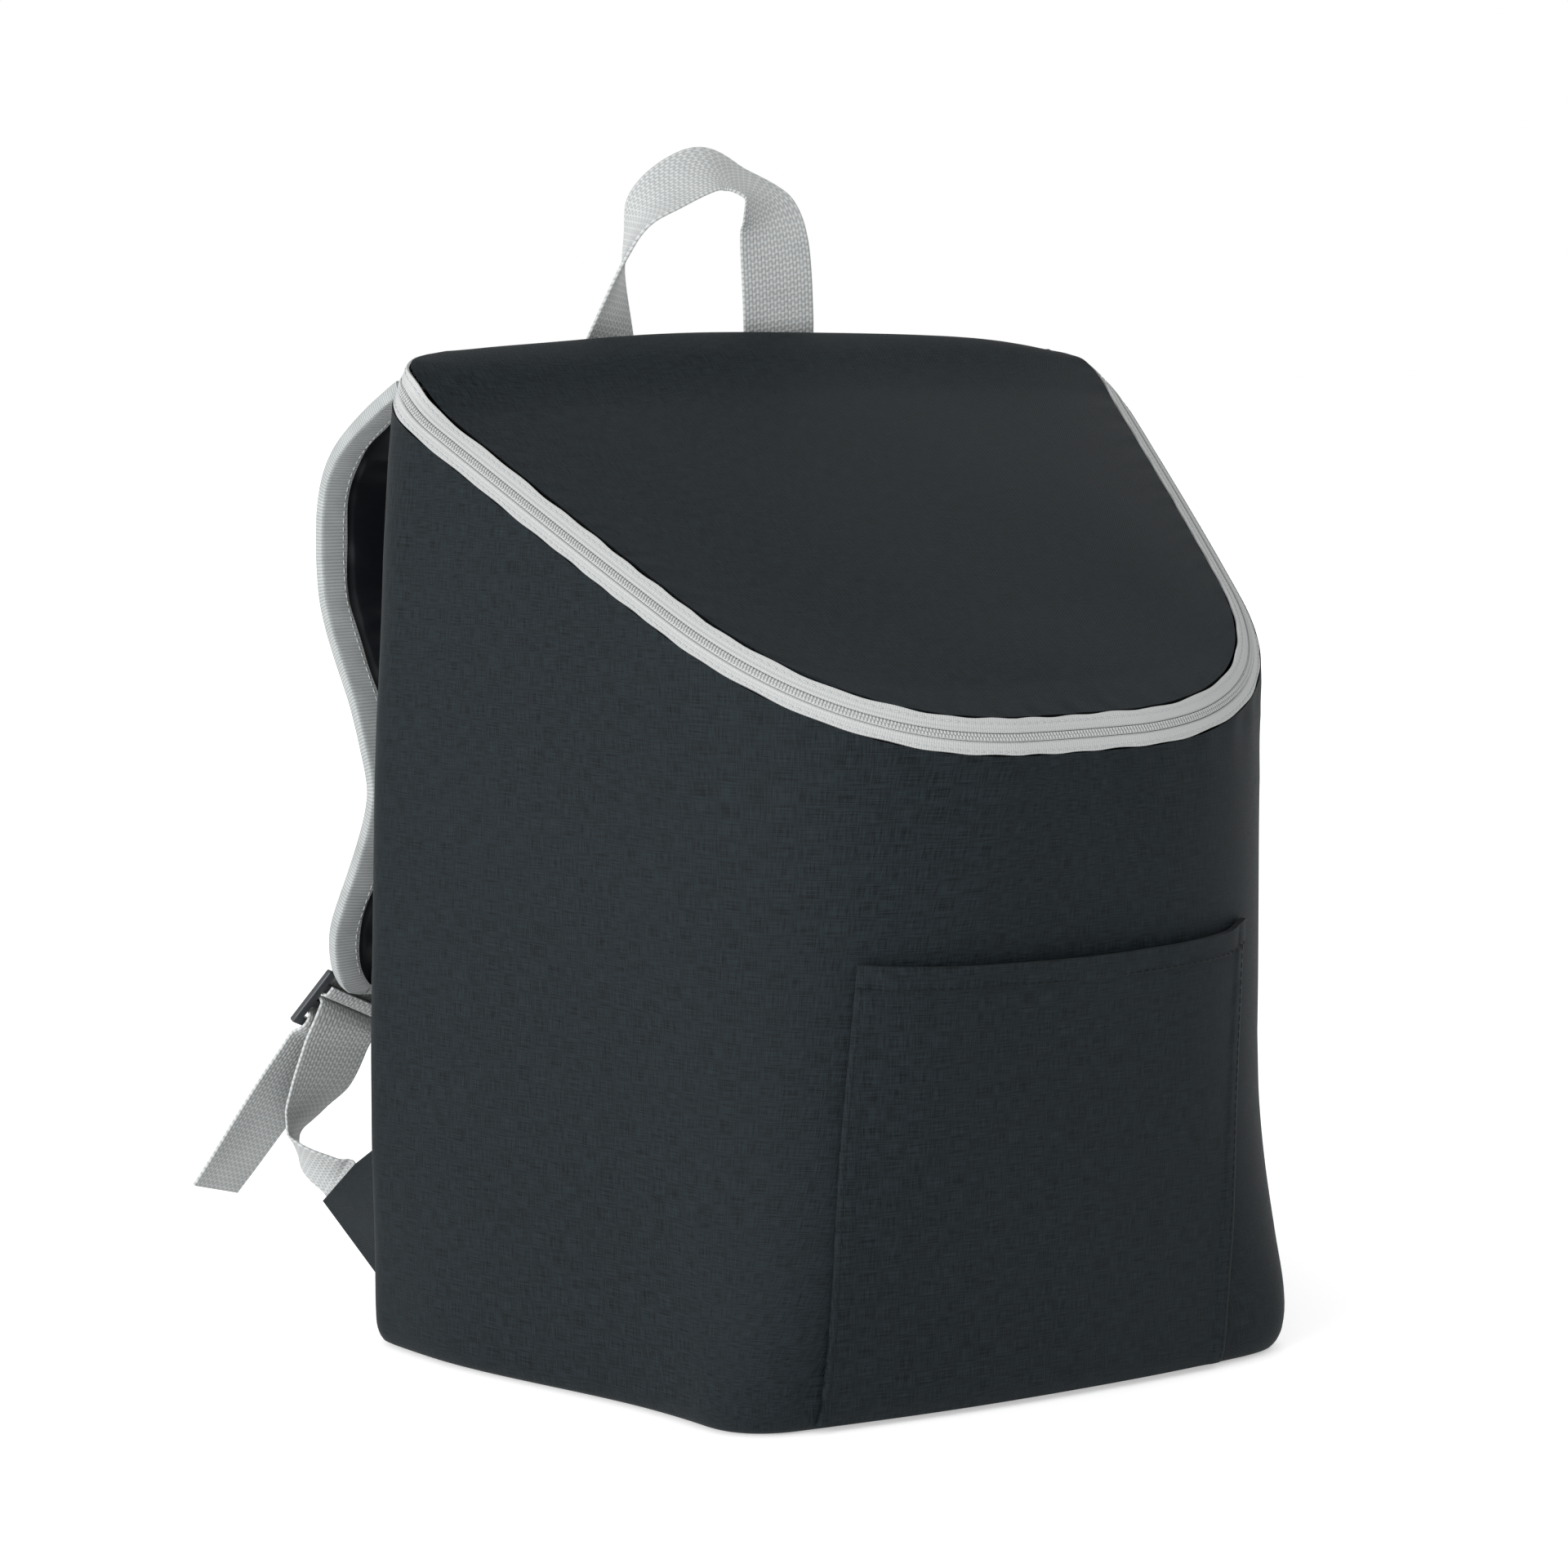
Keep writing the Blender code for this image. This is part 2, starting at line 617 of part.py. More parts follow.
LOCK_RAILS = (-19.0, -15.6, 15.6, 19.0)
LOCK_BARS = (0.0, 5.2, 7.8, 12.6, 15.4, 20.6, 24.0)
LOCK_SOLID_BARS = (1, 3, 5)
LOCK_HALF_THICK = 1.3


def ladder_lock(plastic):
    """Flat plastic adjuster: two rails joined by three bars."""
    def solid(bar, rail):
        return 0 <= bar < len(LOCK_BARS) - 1 and 0 <= rail < 3 and (rail != 1 or bar in LOCK_SOLID_BARS)

    vertices, index = [], {}

    def at(i, j, layer):
        if (i, j, layer) not in index:
            index[i, j, layer] = len(vertices)
            vertices.append(lock_place(LOCK_BARS[i], LOCK_HALF_THICK * layer, LOCK_RAILS[j]))
        return index[i, j, layer]

    faces = []
    for i in range(len(LOCK_BARS) - 1):
        for j in range(3):
            if not solid(i, j):
                continue
            faces.append((at(i, j + 1, 1), at(i + 1, j + 1, 1), at(i + 1, j, 1), at(i, j, 1)))
            faces.append((at(i, j, -1), at(i + 1, j, -1), at(i + 1, j + 1, -1), at(i, j + 1, -1)))
            edges = (((i, j), (i + 1, j), (i, j - 1)), ((i + 1, j), (i + 1, j + 1), (i + 1, j)),
                     ((i + 1, j + 1), (i, j + 1), (i, j + 1)), ((i, j + 1), (i, j), (i - 1, j)))
            for first, second, neighbour in edges:
                if not solid(*neighbour):
                    faces.append((at(*first, 1), at(*second, 1), at(*second, -1), at(*first, -1)))
    make_pair("ladder_lock", (vertices, faces), plastic, smooth=False)


Thread = namedtuple("Thread", "run out")
TAB_LOOP = (Thread(-3.5, 2.6), Thread(2.5, 2.8), Thread(5.0, 2.6), Thread(8.1, 2.45),
            Thread(9.2, 1.3), Thread(9.2, -0.9), Thread(8.2, -2.5), Thread(4.6, -2.6))
ADJUSTER_TURN = (Thread(16.0, -5.2), Thread(12.2, -3.4), Thread(11.0, -1.4), Thread(11.0, 0.6),
                 Thread(11.7, 2.0), Thread(13.1, 2.5), Thread(15.0, 2.5), Thread(17.0, 1.9),
                 Thread(18.1, 0.4), Thread(18.3, -1.0),
                 Thread(19.6, -2.3), Thread(22.0, -2.75), Thread(24.4, -2.3))
TAB_SHIFT = -4.4


def frames_from(middles, widths):
    """Frames of a strap through given middles, with each width made square to the run."""
    frames = []
    for i, middle in enumerate(middles):
        tangent = (middles[min(i + 1, len(middles) - 1)] - middles[max(i - 1, 0)]).normalized()
        width = (widths[i] - tangent * widths[i].dot(tangent)).normalized()
        frames.append((middle, width, tangent.cross(width)))
    return frames


def strap_tab(webbing):
    """Short webbing on the outside of the pad, looped round the top bar of the lock."""
    across = lock_axes()[1]
    pad = pad_frames()
    on_pad = pad[-7:-3]
    stand = PAD_THICK / 2 + WEBBING / 2 + GAP + 0.3
    middles = [middle + width * TAB_SHIFT - normal * stand for middle, width, normal in on_pad]
    widths = [width for _, width, _ in on_pad]
    middles += [lock_place(*thread) for thread in TAB_LOOP]
    widths += [across] * len(TAB_LOOP)
    make_pair("strap_tab", webbing_shape(frames_from(middles, widths)), webbing)


def adjuster_webbing(webbing):
    """Webbing from the corner tab up through the lock and over its bars to a free tail."""
    across = lock_axes()[1]
    lower, tail = strap_path(LOWER_WEBBING, 3), strap_path(TAIL, 2)
    middles = [frame[0] for frame in lower] + [lock_place(*thread) for thread in ADJUSTER_TURN]
    middles += [frame[0] for frame in tail]
    widths = [frame[1] for frame in lower] + [across] * len(ADJUSTER_TURN) + [frame[1] for frame in tail]
    make_pair("adjuster_webbing", webbing_shape(frames_from(middles, widths)), webbing)


def corner_tab(cloth):
    """Gusset from the back seam out to the edge that grips the webbing."""
    run = Vector((TAB_CLOTH / 2, 0, 0))
    top = Vector((TAB_SEAM_X, BACK_Y + GAP, TAB_SEAM_TOP))
    foot = Vector((TAB_SEAM_X, BACK_Y + GAP, TAB_SEAM_FOOT))
    corners = [foot, TAB_LOWER, TAB_UPPER, top]
    rings = [[p - run for p in corners], [p + run for p in corners]]
    make_pair("corner_tab", swept_solid(rings, [(0, 1, 2, 3)]), cloth, smooth=False)


def main():
    for thing in list(bpy.data.objects):
        bpy.data.objects.remove(thing)
    cloth = material("black_polyester", (0.018, 0.021, 0.023), 0.75)
    satin = material("black_strap_lining", (0.008, 0.009, 0.011), 0.45)
    webbing = material("grey_webbing", (0.36, 0.38, 0.38), 0.8)
    zip_tape = material("zip_tape", (0.72, 0.73, 0.73), 0.7)
    plastic = material("black_plastic", (0.02, 0.022, 0.024), 0.4)
    frames = tape_frames()
    side_wrap(cloth)
    back_panel(cloth)
    base_panel(cloth)
    lid(cloth, frames)
    tape("zip_tape_lower", frames, 0.5, 4.9, 1.0, 0.0, zip_tape)
    tape("zip_coil", frames, 5.4, 7.4, 2.0, 0.8, zip_tape)
    tape("zip_tape_upper", frames, 7.9, TAPE_WIDTH, 1.0, 0.0, zip_tape)
    front_pocket(cloth)
    make_object("haul_loop", *webbing_shape(strap_path(HAUL_LOOP, 3)), webbing)
    strap_pad(satin)
    strap_binding(webbing)
    strap_tab(webbing)
    ladder_lock(plastic)
    adjuster_webbing(webbing)
    corner_tab(cloth)
    zip_slider(plastic, frames)


main()
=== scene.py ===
# %% [markdown]
# # A cooler backpack, sewn piece by piece
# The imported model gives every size. This lesson dresses it: each plain solid is replaced by cloth, webbing
# or plastic that is made from the same measurements, so a finished piece lies where its solid lies.

# %% Open the frame and keep its box
import math

import bmesh
import bpy
import numpy as np
from mathutils import Matrix, Vector


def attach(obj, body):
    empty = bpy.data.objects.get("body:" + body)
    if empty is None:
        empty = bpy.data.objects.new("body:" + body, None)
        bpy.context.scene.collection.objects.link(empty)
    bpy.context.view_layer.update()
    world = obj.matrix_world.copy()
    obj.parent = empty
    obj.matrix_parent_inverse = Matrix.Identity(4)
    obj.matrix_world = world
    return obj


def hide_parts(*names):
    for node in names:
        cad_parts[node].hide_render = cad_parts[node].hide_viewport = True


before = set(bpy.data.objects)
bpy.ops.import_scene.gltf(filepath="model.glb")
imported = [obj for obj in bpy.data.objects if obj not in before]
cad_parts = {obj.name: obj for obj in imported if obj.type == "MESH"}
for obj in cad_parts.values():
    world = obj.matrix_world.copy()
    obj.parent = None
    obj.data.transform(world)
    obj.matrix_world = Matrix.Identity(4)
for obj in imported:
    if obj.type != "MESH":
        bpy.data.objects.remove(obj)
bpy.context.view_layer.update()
MM = 0.001

# %% [markdown]
# ## Where the camera stands
# The photograph looks at the bag from its left front, a little from above, through a long lens. The place
# and the lens were worked out from the bag's own corners, so the render can be laid over the photograph.

# %% Place the camera
TURN, DROP = math.radians(31.0377), math.radians(7.7463)
CAMERA_PLACE, LENS_MM, SENSOR_MM = (-0.8509, -1.3384, 0.4183), 103.13, 36.0


def add_object(name, data):
    """A new object in the scene."""
    made = bpy.data.objects.new(name, data)
    bpy.context.scene.collection.objects.link(made)
    return made


look = Vector((math.sin(TURN) * math.cos(DROP), math.cos(TURN) * math.cos(DROP), -math.sin(DROP)))
rightward = Vector((math.cos(TURN), -math.sin(TURN), 0.0))
camera = add_object("camera", bpy.data.cameras.new("camera"))
camera.data.sensor_width, camera.data.lens = SENSOR_MM, LENS_MM
camera.matrix_world = Matrix((rightward, rightward.cross(look), -look)).transposed().to_4x4()
camera.location = CAMERA_PLACE
bpy.context.scene.camera = camera
print("camera at", tuple(round(x, 3) for x in camera.location))

# %% [markdown]
# ## Writing a material as a sum
# A node material is arithmetic drawn as boxes. One small class holds a socket and answers to + - * and /,
# so a pattern is written as the formula that it is, and each operator adds the node for it.

# %% A socket that does arithmetic
class Field:
    """A socket of a node tree that adds Math nodes when it is used in a formula."""

    def __init__(self, paint, socket):
        self.paint, self.socket = paint, socket

    def math(self, operation, *others, clamp=False):
        return self.paint.node("ShaderNodeMath", [self, *others], operation=operation, use_clamp=clamp)

    def __radd__(self, other):
        return self + other

    def __rsub__(self, other):
        return self.paint.value(other).math("SUBTRACT", self)

    def kept(self):
        """The same number, held between 0 and 1."""
        return self.math("ADD", 0.0, clamp=True)


def field_method(operation):
    return lambda field, *others: field.math(operation, *others)


FIELD_METHODS = {"__add__": "ADD", "__sub__": "SUBTRACT", "__mul__": "MULTIPLY", "__truediv__": "DIVIDE",
                 "sine": "SINE", "size": "ABSOLUTE", "power": "POWER", "whole": "FLOOR",
                 "wrap": "FLOORED_MODULO"}
for word, operation in FIELD_METHODS.items():
    setattr(Field, word, field_method(operation))


# %% A material under construction
class Paint:
    """A material whose nodes are added by short calls."""

    def __init__(self, name, colour, roughness, gloss=0.5, **constants):
        self.material = bpy.data.materials.new(name)
        self.material.use_nodes = True
        self.tree = self.material.node_tree
        self.shader = self.tree.nodes["Principled BSDF"]
        self.shader.inputs["Base Color"].default_value = (*colour, 1.0)
        self.shader.inputs["Roughness"].default_value = roughness
        self.shader.inputs["Specular IOR Level"].default_value = gloss
        for words, number in constants.items():
            self.shader.inputs[words.replace("_", " ").title()].default_value = number

    def node(self, kind, values=(), output=0, **settings):
        made = self.tree.nodes.new(kind)
        for key, setting in settings.items():
            setattr(made, key, setting)
        pairs = values.items() if isinstance(values, dict) else enumerate(values)
        for key, given in pairs:
            if isinstance(given, Field):
                self.tree.links.new(given.socket, made.inputs[key])
            else:
                made.inputs[key].default_value = given
        return Field(self, made.outputs[output])

    def value(self, number):
        return self.node("ShaderNodeMath", [number, 0.0], operation="ADD")

    def mix(self, share, first, second):
        """Colour between two colours."""
        made = self.node("ShaderNodeMix", {0: share}, output=2, data_type="RGBA")
        for slot, colour in ((6, first), (7, second)):
            if isinstance(colour, Field):
                self.tree.links.new(colour.socket, made.socket.node.inputs[slot])
            else:
                made.socket.node.inputs[slot].default_value = (*colour, 1.0)
        return made

    def place(self):
        """X and Y of the piece's own UV map, in millimetres of cloth."""
        uv = self.node("ShaderNodeTexCoord", output=2)
        parts = self.node("ShaderNodeSeparateXYZ", [uv])
        return (parts * 1000.0, Field(self, parts.socket.node.outputs[1]) * 1000.0)

    def noise(self, u, v, scale, detail=2.0, w=0.0):
        """Smooth noise from 0 to 1 over two numbers."""
        spot = self.node("ShaderNodeCombineXYZ", [u, v, w])
        return self.node("ShaderNodeTexNoise", {"Vector": spot, "Scale": scale, "Detail": detail})

    def finish(self, colour=None, roughness=None, height=None, strength=0.3, distance=0.0002):
        for words, field in (("Base Color", colour), ("Roughness", roughness)):
            if field is not None:
                self.tree.links.new(field.socket, self.shader.inputs[words])
        if height is not None:
            bump = self.node("ShaderNodeBump", {"Strength": strength, "Distance": distance, "Height": height})
            self.tree.links.new(bump.socket, self.shader.inputs["Normal"])
        print("finish:", self.material.name, "nodes:", len(self.tree.nodes))
        return self.material


# %% [markdown]
# ## Black polyester
# The shell is a plain weave of thick black yarn, coated behind. From arm's length the single threads blend,
# and what stays is their unevenness: thick and thin places that run along the cloth and across it. Two
# noises, each drawn out along one thread direction, give that, and a fine weave lies under them for the
# close view.

# %% Woven black cloth
THREAD_MM = 0.62
BLACK = ((0.0009, 0.0014, 0.0018), (0.0127, 0.0186, 0.0220))


def black_cloth():
    paint = Paint("woven_black_polyester", BLACK[0], 0.66, gloss=0.09, sheen_weight=0.02, sheen_roughness=0.42)
    u, v = paint.place()
    warp, weft = ((way * (math.pi / THREAD_MM)).sine().size() for way in (u, v))
    over = ((u / THREAD_MM).whole() + (v / THREAD_MM).whole()).wrap(2.0)
    weave = over * warp + (1.0 - over) * weft
    across = paint.noise(u * 0.13, v * 2.6, 1.0, 2.0)
    down = paint.noise(u * 2.6, v * 0.16, 1.0, 2.0, 4.0)
    worn = paint.noise(u * 0.012, v * 0.012, 1.0, 2.0, 9.0)
    slub = across * 0.5 + down * 0.5
    tone = (((slub - 0.5) * 4.6 + 0.5) * 0.66 + weave * 0.18 + worn * 0.16).kept()
    return paint.finish(paint.mix(tone, *BLACK), 0.56 + tone * 0.2, weave * 0.6 + slub * 1.2, 0.4, 0.0002)


shell_cloth = black_cloth()

# %% [markdown]
# ## Strap lining, webbing and zip tape
# The padded straps are faced with a smoother, shinier black cloth that creases. Webbing is woven in rows
# about 2.3 mm long, each column shifted by half a row from the next, so light dashes stand before dark
# gaps. Zip tape is a finer weave with ribs along its length.

# %% Satin lining of the straps
def satin():
    paint = Paint("satin_strap_lining", (0.003, 0.0035, 0.0045), 0.42, gloss=0.22)
    u, v = paint.place()
    threads = paint.noise(u * 0.1, v * 2.2, 1.0, 3.0)
    soft = paint.noise(u * 0.03, v * 0.03, 1.0, 2.0, 3.0)
    colour = paint.mix(threads * 0.7 + soft * 0.3, (0.0010, 0.0013, 0.0022), (0.0055, 0.0066, 0.0085))
    return paint.finish(colour, 0.34 + threads * 0.16, threads, 0.2, 0.0001)


strap_satin = satin()


# %% Grey webbing and binding
COLUMN_MM, ROW_MM, RIB_MM = 1.5, 2.3, 1.25
WEBBING_GREY = ((0.17, 0.18, 0.18), (0.5, 0.515, 0.515))
BINDING_GREY = ((0.17, 0.184, 0.186), (0.385, 0.402, 0.4))


def grey_webbing():
    """Staggered dashes of thick yarn in columns, with a fine rib across the tape in every half row."""
    paint = Paint("grey_webbing", WEBBING_GREY[1], 0.72, sheen_weight=0.12, gloss=0.35)
    u, v = paint.place()
    odd = (u / COLUMN_MM).whole().wrap(2.0)
    dash = ((v / ROW_MM + odd * 0.5) * math.pi).sine().size()
    bead = ((u / COLUMN_MM) * math.pi).sine().size()
    rib = ((v / ROW_MM) * (2 * math.pi)).sine() * 0.5 + 0.5
    yarn = paint.noise(u * 2.4, v * 1.3, 1.0, 3.0)
    mass = (dash.power(0.55) * bead.power(0.6) * 0.75 + rib * 0.25).kept()
    worn = paint.noise(u * 0.05, v * 0.06, 1.0, 2.0, 7.0)
    tone = (mass * 0.74 + yarn * 0.3 + worn * 0.3 - 0.17).kept()
    return paint.finish(paint.mix(tone, *WEBBING_GREY), 0.86 - tone * 0.16, mass + yarn * 0.25, 0.7, 0.00045)


def ribbed_binding():
    """Thin tape with fine ribs straight across it."""
    paint = Paint("grey_binding_tape", (0.4, 0.42, 0.42), 0.75, sheen_weight=0.1, gloss=0.3)
    u, v = paint.place()
    rib = ((v / RIB_MM) * (2 * math.pi)).sine() * 0.5 + 0.5
    speck = paint.noise(u * 1.9, v * 2.4, 1.0, 3.0)
    patch = paint.noise(u * 0.08, v * 0.09, 1.0, 2.0, 5.0)
    tone = (rib * (0.3 + patch * 0.5) + speck * 0.6 + patch * 0.3 - 0.28).kept()
    return paint.finish(paint.mix(tone, *BINDING_GREY), 0.84 - tone * 0.14, rib + speck * 0.7, 0.6, 0.00022)


webbing = grey_webbing()
binding_cloth = ribbed_binding()


# %% Zip tape and zip coil
def zip_finish(name, dark, light, rough, rib):
    paint = Paint(name, light, rough, gloss=0.4)
    u, v = paint.place()
    ribs = ((v / rib) * math.pi).sine().size()
    herring = ((u * 0.9 + v * 1.4) * math.pi).sine() * 0.5 + 0.5
    yarn = paint.noise(u * 2.6, v * 2.6, 1.0, 2.0)
    tone = (ribs.power(0.6) * 0.6 + herring * 0.15 + yarn * 0.35 - 0.05).kept()
    return paint.finish(paint.mix(tone, dark, light), 0.8 - tone * 0.14, ribs + herring * 0.2, 0.5, 0.00016)


zip_cloth = zip_finish("pale_zip_tape", (0.27, 0.277, 0.277), (0.375, 0.384, 0.384), 0.75, 0.85)
coil_nylon = zip_finish("pale_zip_coil", (0.31, 0.318, 0.318), (0.43, 0.438, 0.438), 0.45, 2.0)

# %% [markdown]
# ## Moulded plastic
# The ladder locks and the zip slider are black plastic or lacquered metal with a fine mould grain, slightly
# shinier where fingers rub it.

# %% Black plastic and thread
def plastic(name, colour, low, high):
    paint = Paint(name, colour, low, gloss=0.5)
    where = paint.node("ShaderNodeTexCoord", output=3)
    grain = paint.node("ShaderNodeTexNoise", {"Vector": where, "Scale": 1400.0, "Detail": 2.0})
    rubbed = paint.node("ShaderNodeTexNoise", {"Vector": where, "Scale": 60.0, "Detail": 3.0})
    light = tuple(1.35 * x for x in colour)
    colour_field = paint.mix(rubbed, colour, light)
    return paint.finish(colour_field, low + rubbed * (high - low), grain, 0.25, 0.00005)


def thread_finish(name, dark, light):
    paint = Paint(name, light, 0.7, gloss=0.12)
    where = paint.node("ShaderNodeTexCoord", output=3)
    twist = paint.node("ShaderNodeTexNoise", {"Vector": where, "Scale": 2600.0, "Detail": 2.0})
    return paint.finish(paint.mix(twist, dark, light), 0.62 + twist * 0.16, twist, 0.4, 0.00006)


lock_plastic = plastic("black_moulded_plastic", (0.022, 0.025, 0.028), 0.3, 0.5)
black_thread = thread_finish("black_thread", (0.003, 0.0038, 0.0045), (0.009, 0.0108, 0.012))
grey_thread = thread_finish("grey_thread", (0.26, 0.275, 0.275), (0.45, 0.465, 0.465))

# %% [markdown]
# ## The bag's shape in numbers
# A few plan sections say how wide the bag is at each height, how soft its corners are and how its sides
# wave. They are the sizes that the solids were drawn from, in millimetres, read here at many more places.

# %% Plan sections
BACK_Y, FRONT_Y, FRONT_LEAN = 96.0, -88.0, 26.0
BACK_LEAN, LEAN_FROM, LEAN_TO = 6.0, 230.0, 345.0
ZIP_BACK_HEIGHT, ZIP_FRONT_HEIGHT = 340.0, 230.0
WALL, BACK_RETURN, TAPE_WIDTH, GAP = 4.0, 6.0, 13.0, 0.3
FOOT_HEIGHT, FOOT_INSET = 9.0, 5.0
# z, half width at back, half width at front, front corner, back corner, bow of the front, wave of the side
PLANS = (
    (0, 165.0, 117.5, 24, 14, 9.0, 4.0),
    (18, 165.5, 118.0, 25, 14, 9.0, 4.0),
    (43, 166.0, 113.0, 34, 14, 8.5, 3.0),
    (67, 166.5, 108.0, 42, 14, 8.0, 2.0),
    (91, 166.5, 104.0, 48, 14, 7.5, 1.0),
    (115, 166.5, 101.5, 52, 14, 7.0, 0.5),
    (162, 165.5, 99.5, 60, 14, 6.5, 0.0),
    (208, 165.0, 98.5, 68, 17, 6.0, 0.0),
    (234, 165.0, 98.0, 74, 20, 5.5, 0.0),
    (280, 164.5, 98.0, 76, 27, 5.0, 0.0),
    (320, 162.5, 98.0, 76, 33, 5.0, 0.0),
    (345, 161.5, 98.0, 76, 36, 5.0, 0.0),
)


def catmull(a, b, c, d, t):
    """Smooth value between b and c."""
    return b + 0.5 * t * (c - a + t * (2 * a - 5 * b + 4 * c - d + t * (3 * (b - c) + d - a)))


def eased(rows, key):
    """Columns of a table at an array of keys, smooth from row to row."""
    rows = np.array(rows, float)
    keys = rows[:, 0]
    key = np.clip(key, keys[0], keys[-1])
    i = np.clip(np.searchsorted(keys, key, side="right") - 1, 0, len(keys) - 2)
    t = ((key - keys[i]) / (keys[i + 1] - keys[i]))[..., None]
    near = [rows[np.clip(i + k, 0, len(keys) - 1)] for k in (-1, 0, 1, 2)]
    return np.moveaxis(catmull(*near, t), -1, 0)


def smooth_step(t):
    t = np.clip(t, 0.0, 1.0)
    return t * t * (3 - 2 * t)


def back_line(z):
    return BACK_Y + BACK_LEAN * smooth_step((np.asarray(z, float) - LEAN_FROM) / (LEAN_TO - LEAN_FROM))


# %% One upright line of the wall
FINE = 6
FRONT_STEPS, CORNER_STEPS, SIDE_STEPS, BACK_STEPS = 4 * FINE, 7 * FINE, 8 * FINE, 4 * FINE
HALF_COUNT = FRONT_STEPS + CORNER_STEPS + SIDE_STEPS + BACK_STEPS + FINE + 1
COLUMNS = 2 * HALF_COUNT - 1


def half_column(i, z):
    """X and Y of step i round the right half of the bag, from the middle of the front to the back seam."""
    _, back_half, front_half, corner_size, back_corner, bow, wave = eased(PLANS, z)
    line = FRONT_Y - FRONT_LEAN * np.minimum(z / ZIP_FRONT_HEIGHT, 1.0)
    corner = np.stack([front_half, line], -1)
    back = np.stack([back_half, back_line(z)], -1)
    length = np.linalg.norm(back - corner, axis=-1)[..., None]
    outward = ((back - corner) / length)[..., ::-1] * np.array([1.0, -1.0])
    front_end = front_half - corner_size

    def front(x):
        return np.stack([x, line - bow * (1 - (x / front_half) ** 2)], -1)

    def side(t):
        t = np.broadcast_to(t, length.shape[:-1])[..., None]
        return corner + (back - corner) * t + outward * (-wave[..., None] * np.sin(2 * np.pi * t))

    def rounded(a, b, c, t):
        return a * (1 - t) ** 2 + b * 2 * t * (1 - t) + c * t * t

    side_start, side_end = corner_size / length[..., 0], 1 - back_corner / length[..., 0]
    if i < FRONT_STEPS:
        return front(front_end * i / FRONT_STEPS)
    i -= FRONT_STEPS
    if i < CORNER_STEPS:
        return rounded(front(front_end), corner, side(side_start), i / CORNER_STEPS)
    i -= CORNER_STEPS
    if i < SIDE_STEPS:
        return side(side_start + (side_end - side_start) * i / SIDE_STEPS)
    i -= SIDE_STEPS
    end = back - np.stack([back_corner, 0 * back_corner], -1)
    if i <= BACK_STEPS:
        return rounded(side(side_end), back, end, i / BACK_STEPS)
    return end - np.array([BACK_RETURN * (i - BACK_STEPS) / FINE, 0.0])


def wall_column(c, z, outward_by=0.0):
    """Points of column c of the whole wall at heights z, and its outward normals there."""
    z = np.asarray(z, float)
    side = 1.0 if c >= HALF_COUNT - 1 else -1.0
    i = abs(c - (HALF_COUNT - 1))
    flip = np.array([side, 1.0])
    here = half_column(i, z) * flip
    ahead, behind = (half_column(min(max(i + k, 0), HALF_COUNT - 1), z) * flip for k in (1, -1))
    if i == 0:
        behind = ahead * np.array([-1.0, 1.0])
    chord = (ahead - behind) * side
    chord /= np.linalg.norm(chord, axis=-1)[..., None]
    normal = np.stack([chord[..., 1], -chord[..., 0], 0 * z], -1)
    return np.concatenate([here, z[..., None]], -1) + normal * np.asarray(outward_by)[..., None], normal


# %% [markdown]
# ## The zip's line
# In side view the wall is cut off on one straight slope, from 340 mm at the back to 230 mm at the front.
# The zip is sewn along that cut and leans inward over it: least at the front and back, most along the
# sides.

# %% Find the cut and the frame of the zip tape
CUT_TRIES, HEM_ABOVE_ZIP = 12, 1.8
FRONT_TILT, SIDE_TILT, BACK_TILT_LEFT, BACK_TILT_RIGHT = 20.0, 48.0, 24.0, 60.0
SIDE_FACING = -0.3


def unit(vectors):
    return vectors / np.linalg.norm(vectors, axis=-1)[..., None]


def run_length(points):
    """Distance from the first point of a line to each of its points, along the line."""
    return np.concatenate([[0], np.cumsum(np.linalg.norm(np.diff(points, axis=0), axis=1))])


def zip_height(y):
    fall, depth = ZIP_FRONT_HEIGHT - ZIP_BACK_HEIGHT, BACK_Y - FRONT_Y + FRONT_LEAN
    return ZIP_BACK_HEIGHT + fall * (BACK_Y - y) / depth


def zip_cut():
    """Points of the wall's cut edge and outward normals there. Each height is found by trying again."""
    cut = []
    for c in range(COLUMNS):
        z = np.array(ZIP_BACK_HEIGHT)
        for _ in range(CUT_TRIES):
            z = zip_height(wall_column(c, z)[0][1])
        cut.append(wall_column(c, z))
    return (np.array(part) for part in zip(*cut))


def tape_tilt(points, outward):
    """Degrees that the tape leans inward, by how far the wall faces the back."""
    facing = outward[:, 1]
    at_back = np.where(points[:, 0] > 0, BACK_TILT_RIGHT, BACK_TILT_LEFT)
    front = FRONT_TILT + (SIDE_TILT - FRONT_TILT) * (facing + 1) / (SIDE_FACING + 1)
    back = SIDE_TILT + (at_back - SIDE_TILT) * smooth_step((facing - SIDE_FACING) / (1 - SIDE_FACING))
    return np.where(facing < SIDE_FACING, front, back)


ZIP_POINT, ZIP_OUT = zip_cut()
rising = unit(np.cross(unit(np.gradient(ZIP_POINT, axis=0)), ZIP_OUT))
rising *= np.sign(rising[:, 2:3])
TILT = np.radians(tape_tilt(ZIP_POINT, ZIP_OUT))[:, None]
TAPE_ACROSS = rising * np.cos(TILT) - ZIP_OUT * np.sin(TILT)
TAPE_OUT = ZIP_OUT * np.cos(TILT) + rising * np.sin(TILT)
ZIP_RUNNING = run_length(ZIP_POINT)
HEM_HEIGHT = ZIP_POINT[0][2] + HEM_ABOVE_ZIP
print("zip is", round(ZIP_RUNNING[-1]), "mm long")

# %% [markdown]
# ## Cloth from a grid
# A panel is a grid of points for its outside and another for its inside, closed round the edge. Its UV map
# holds millimetres of cloth, so the weave keeps its size on every panel. Real panels are never quite flat,
# which a few long waves with fixed phases imitate.

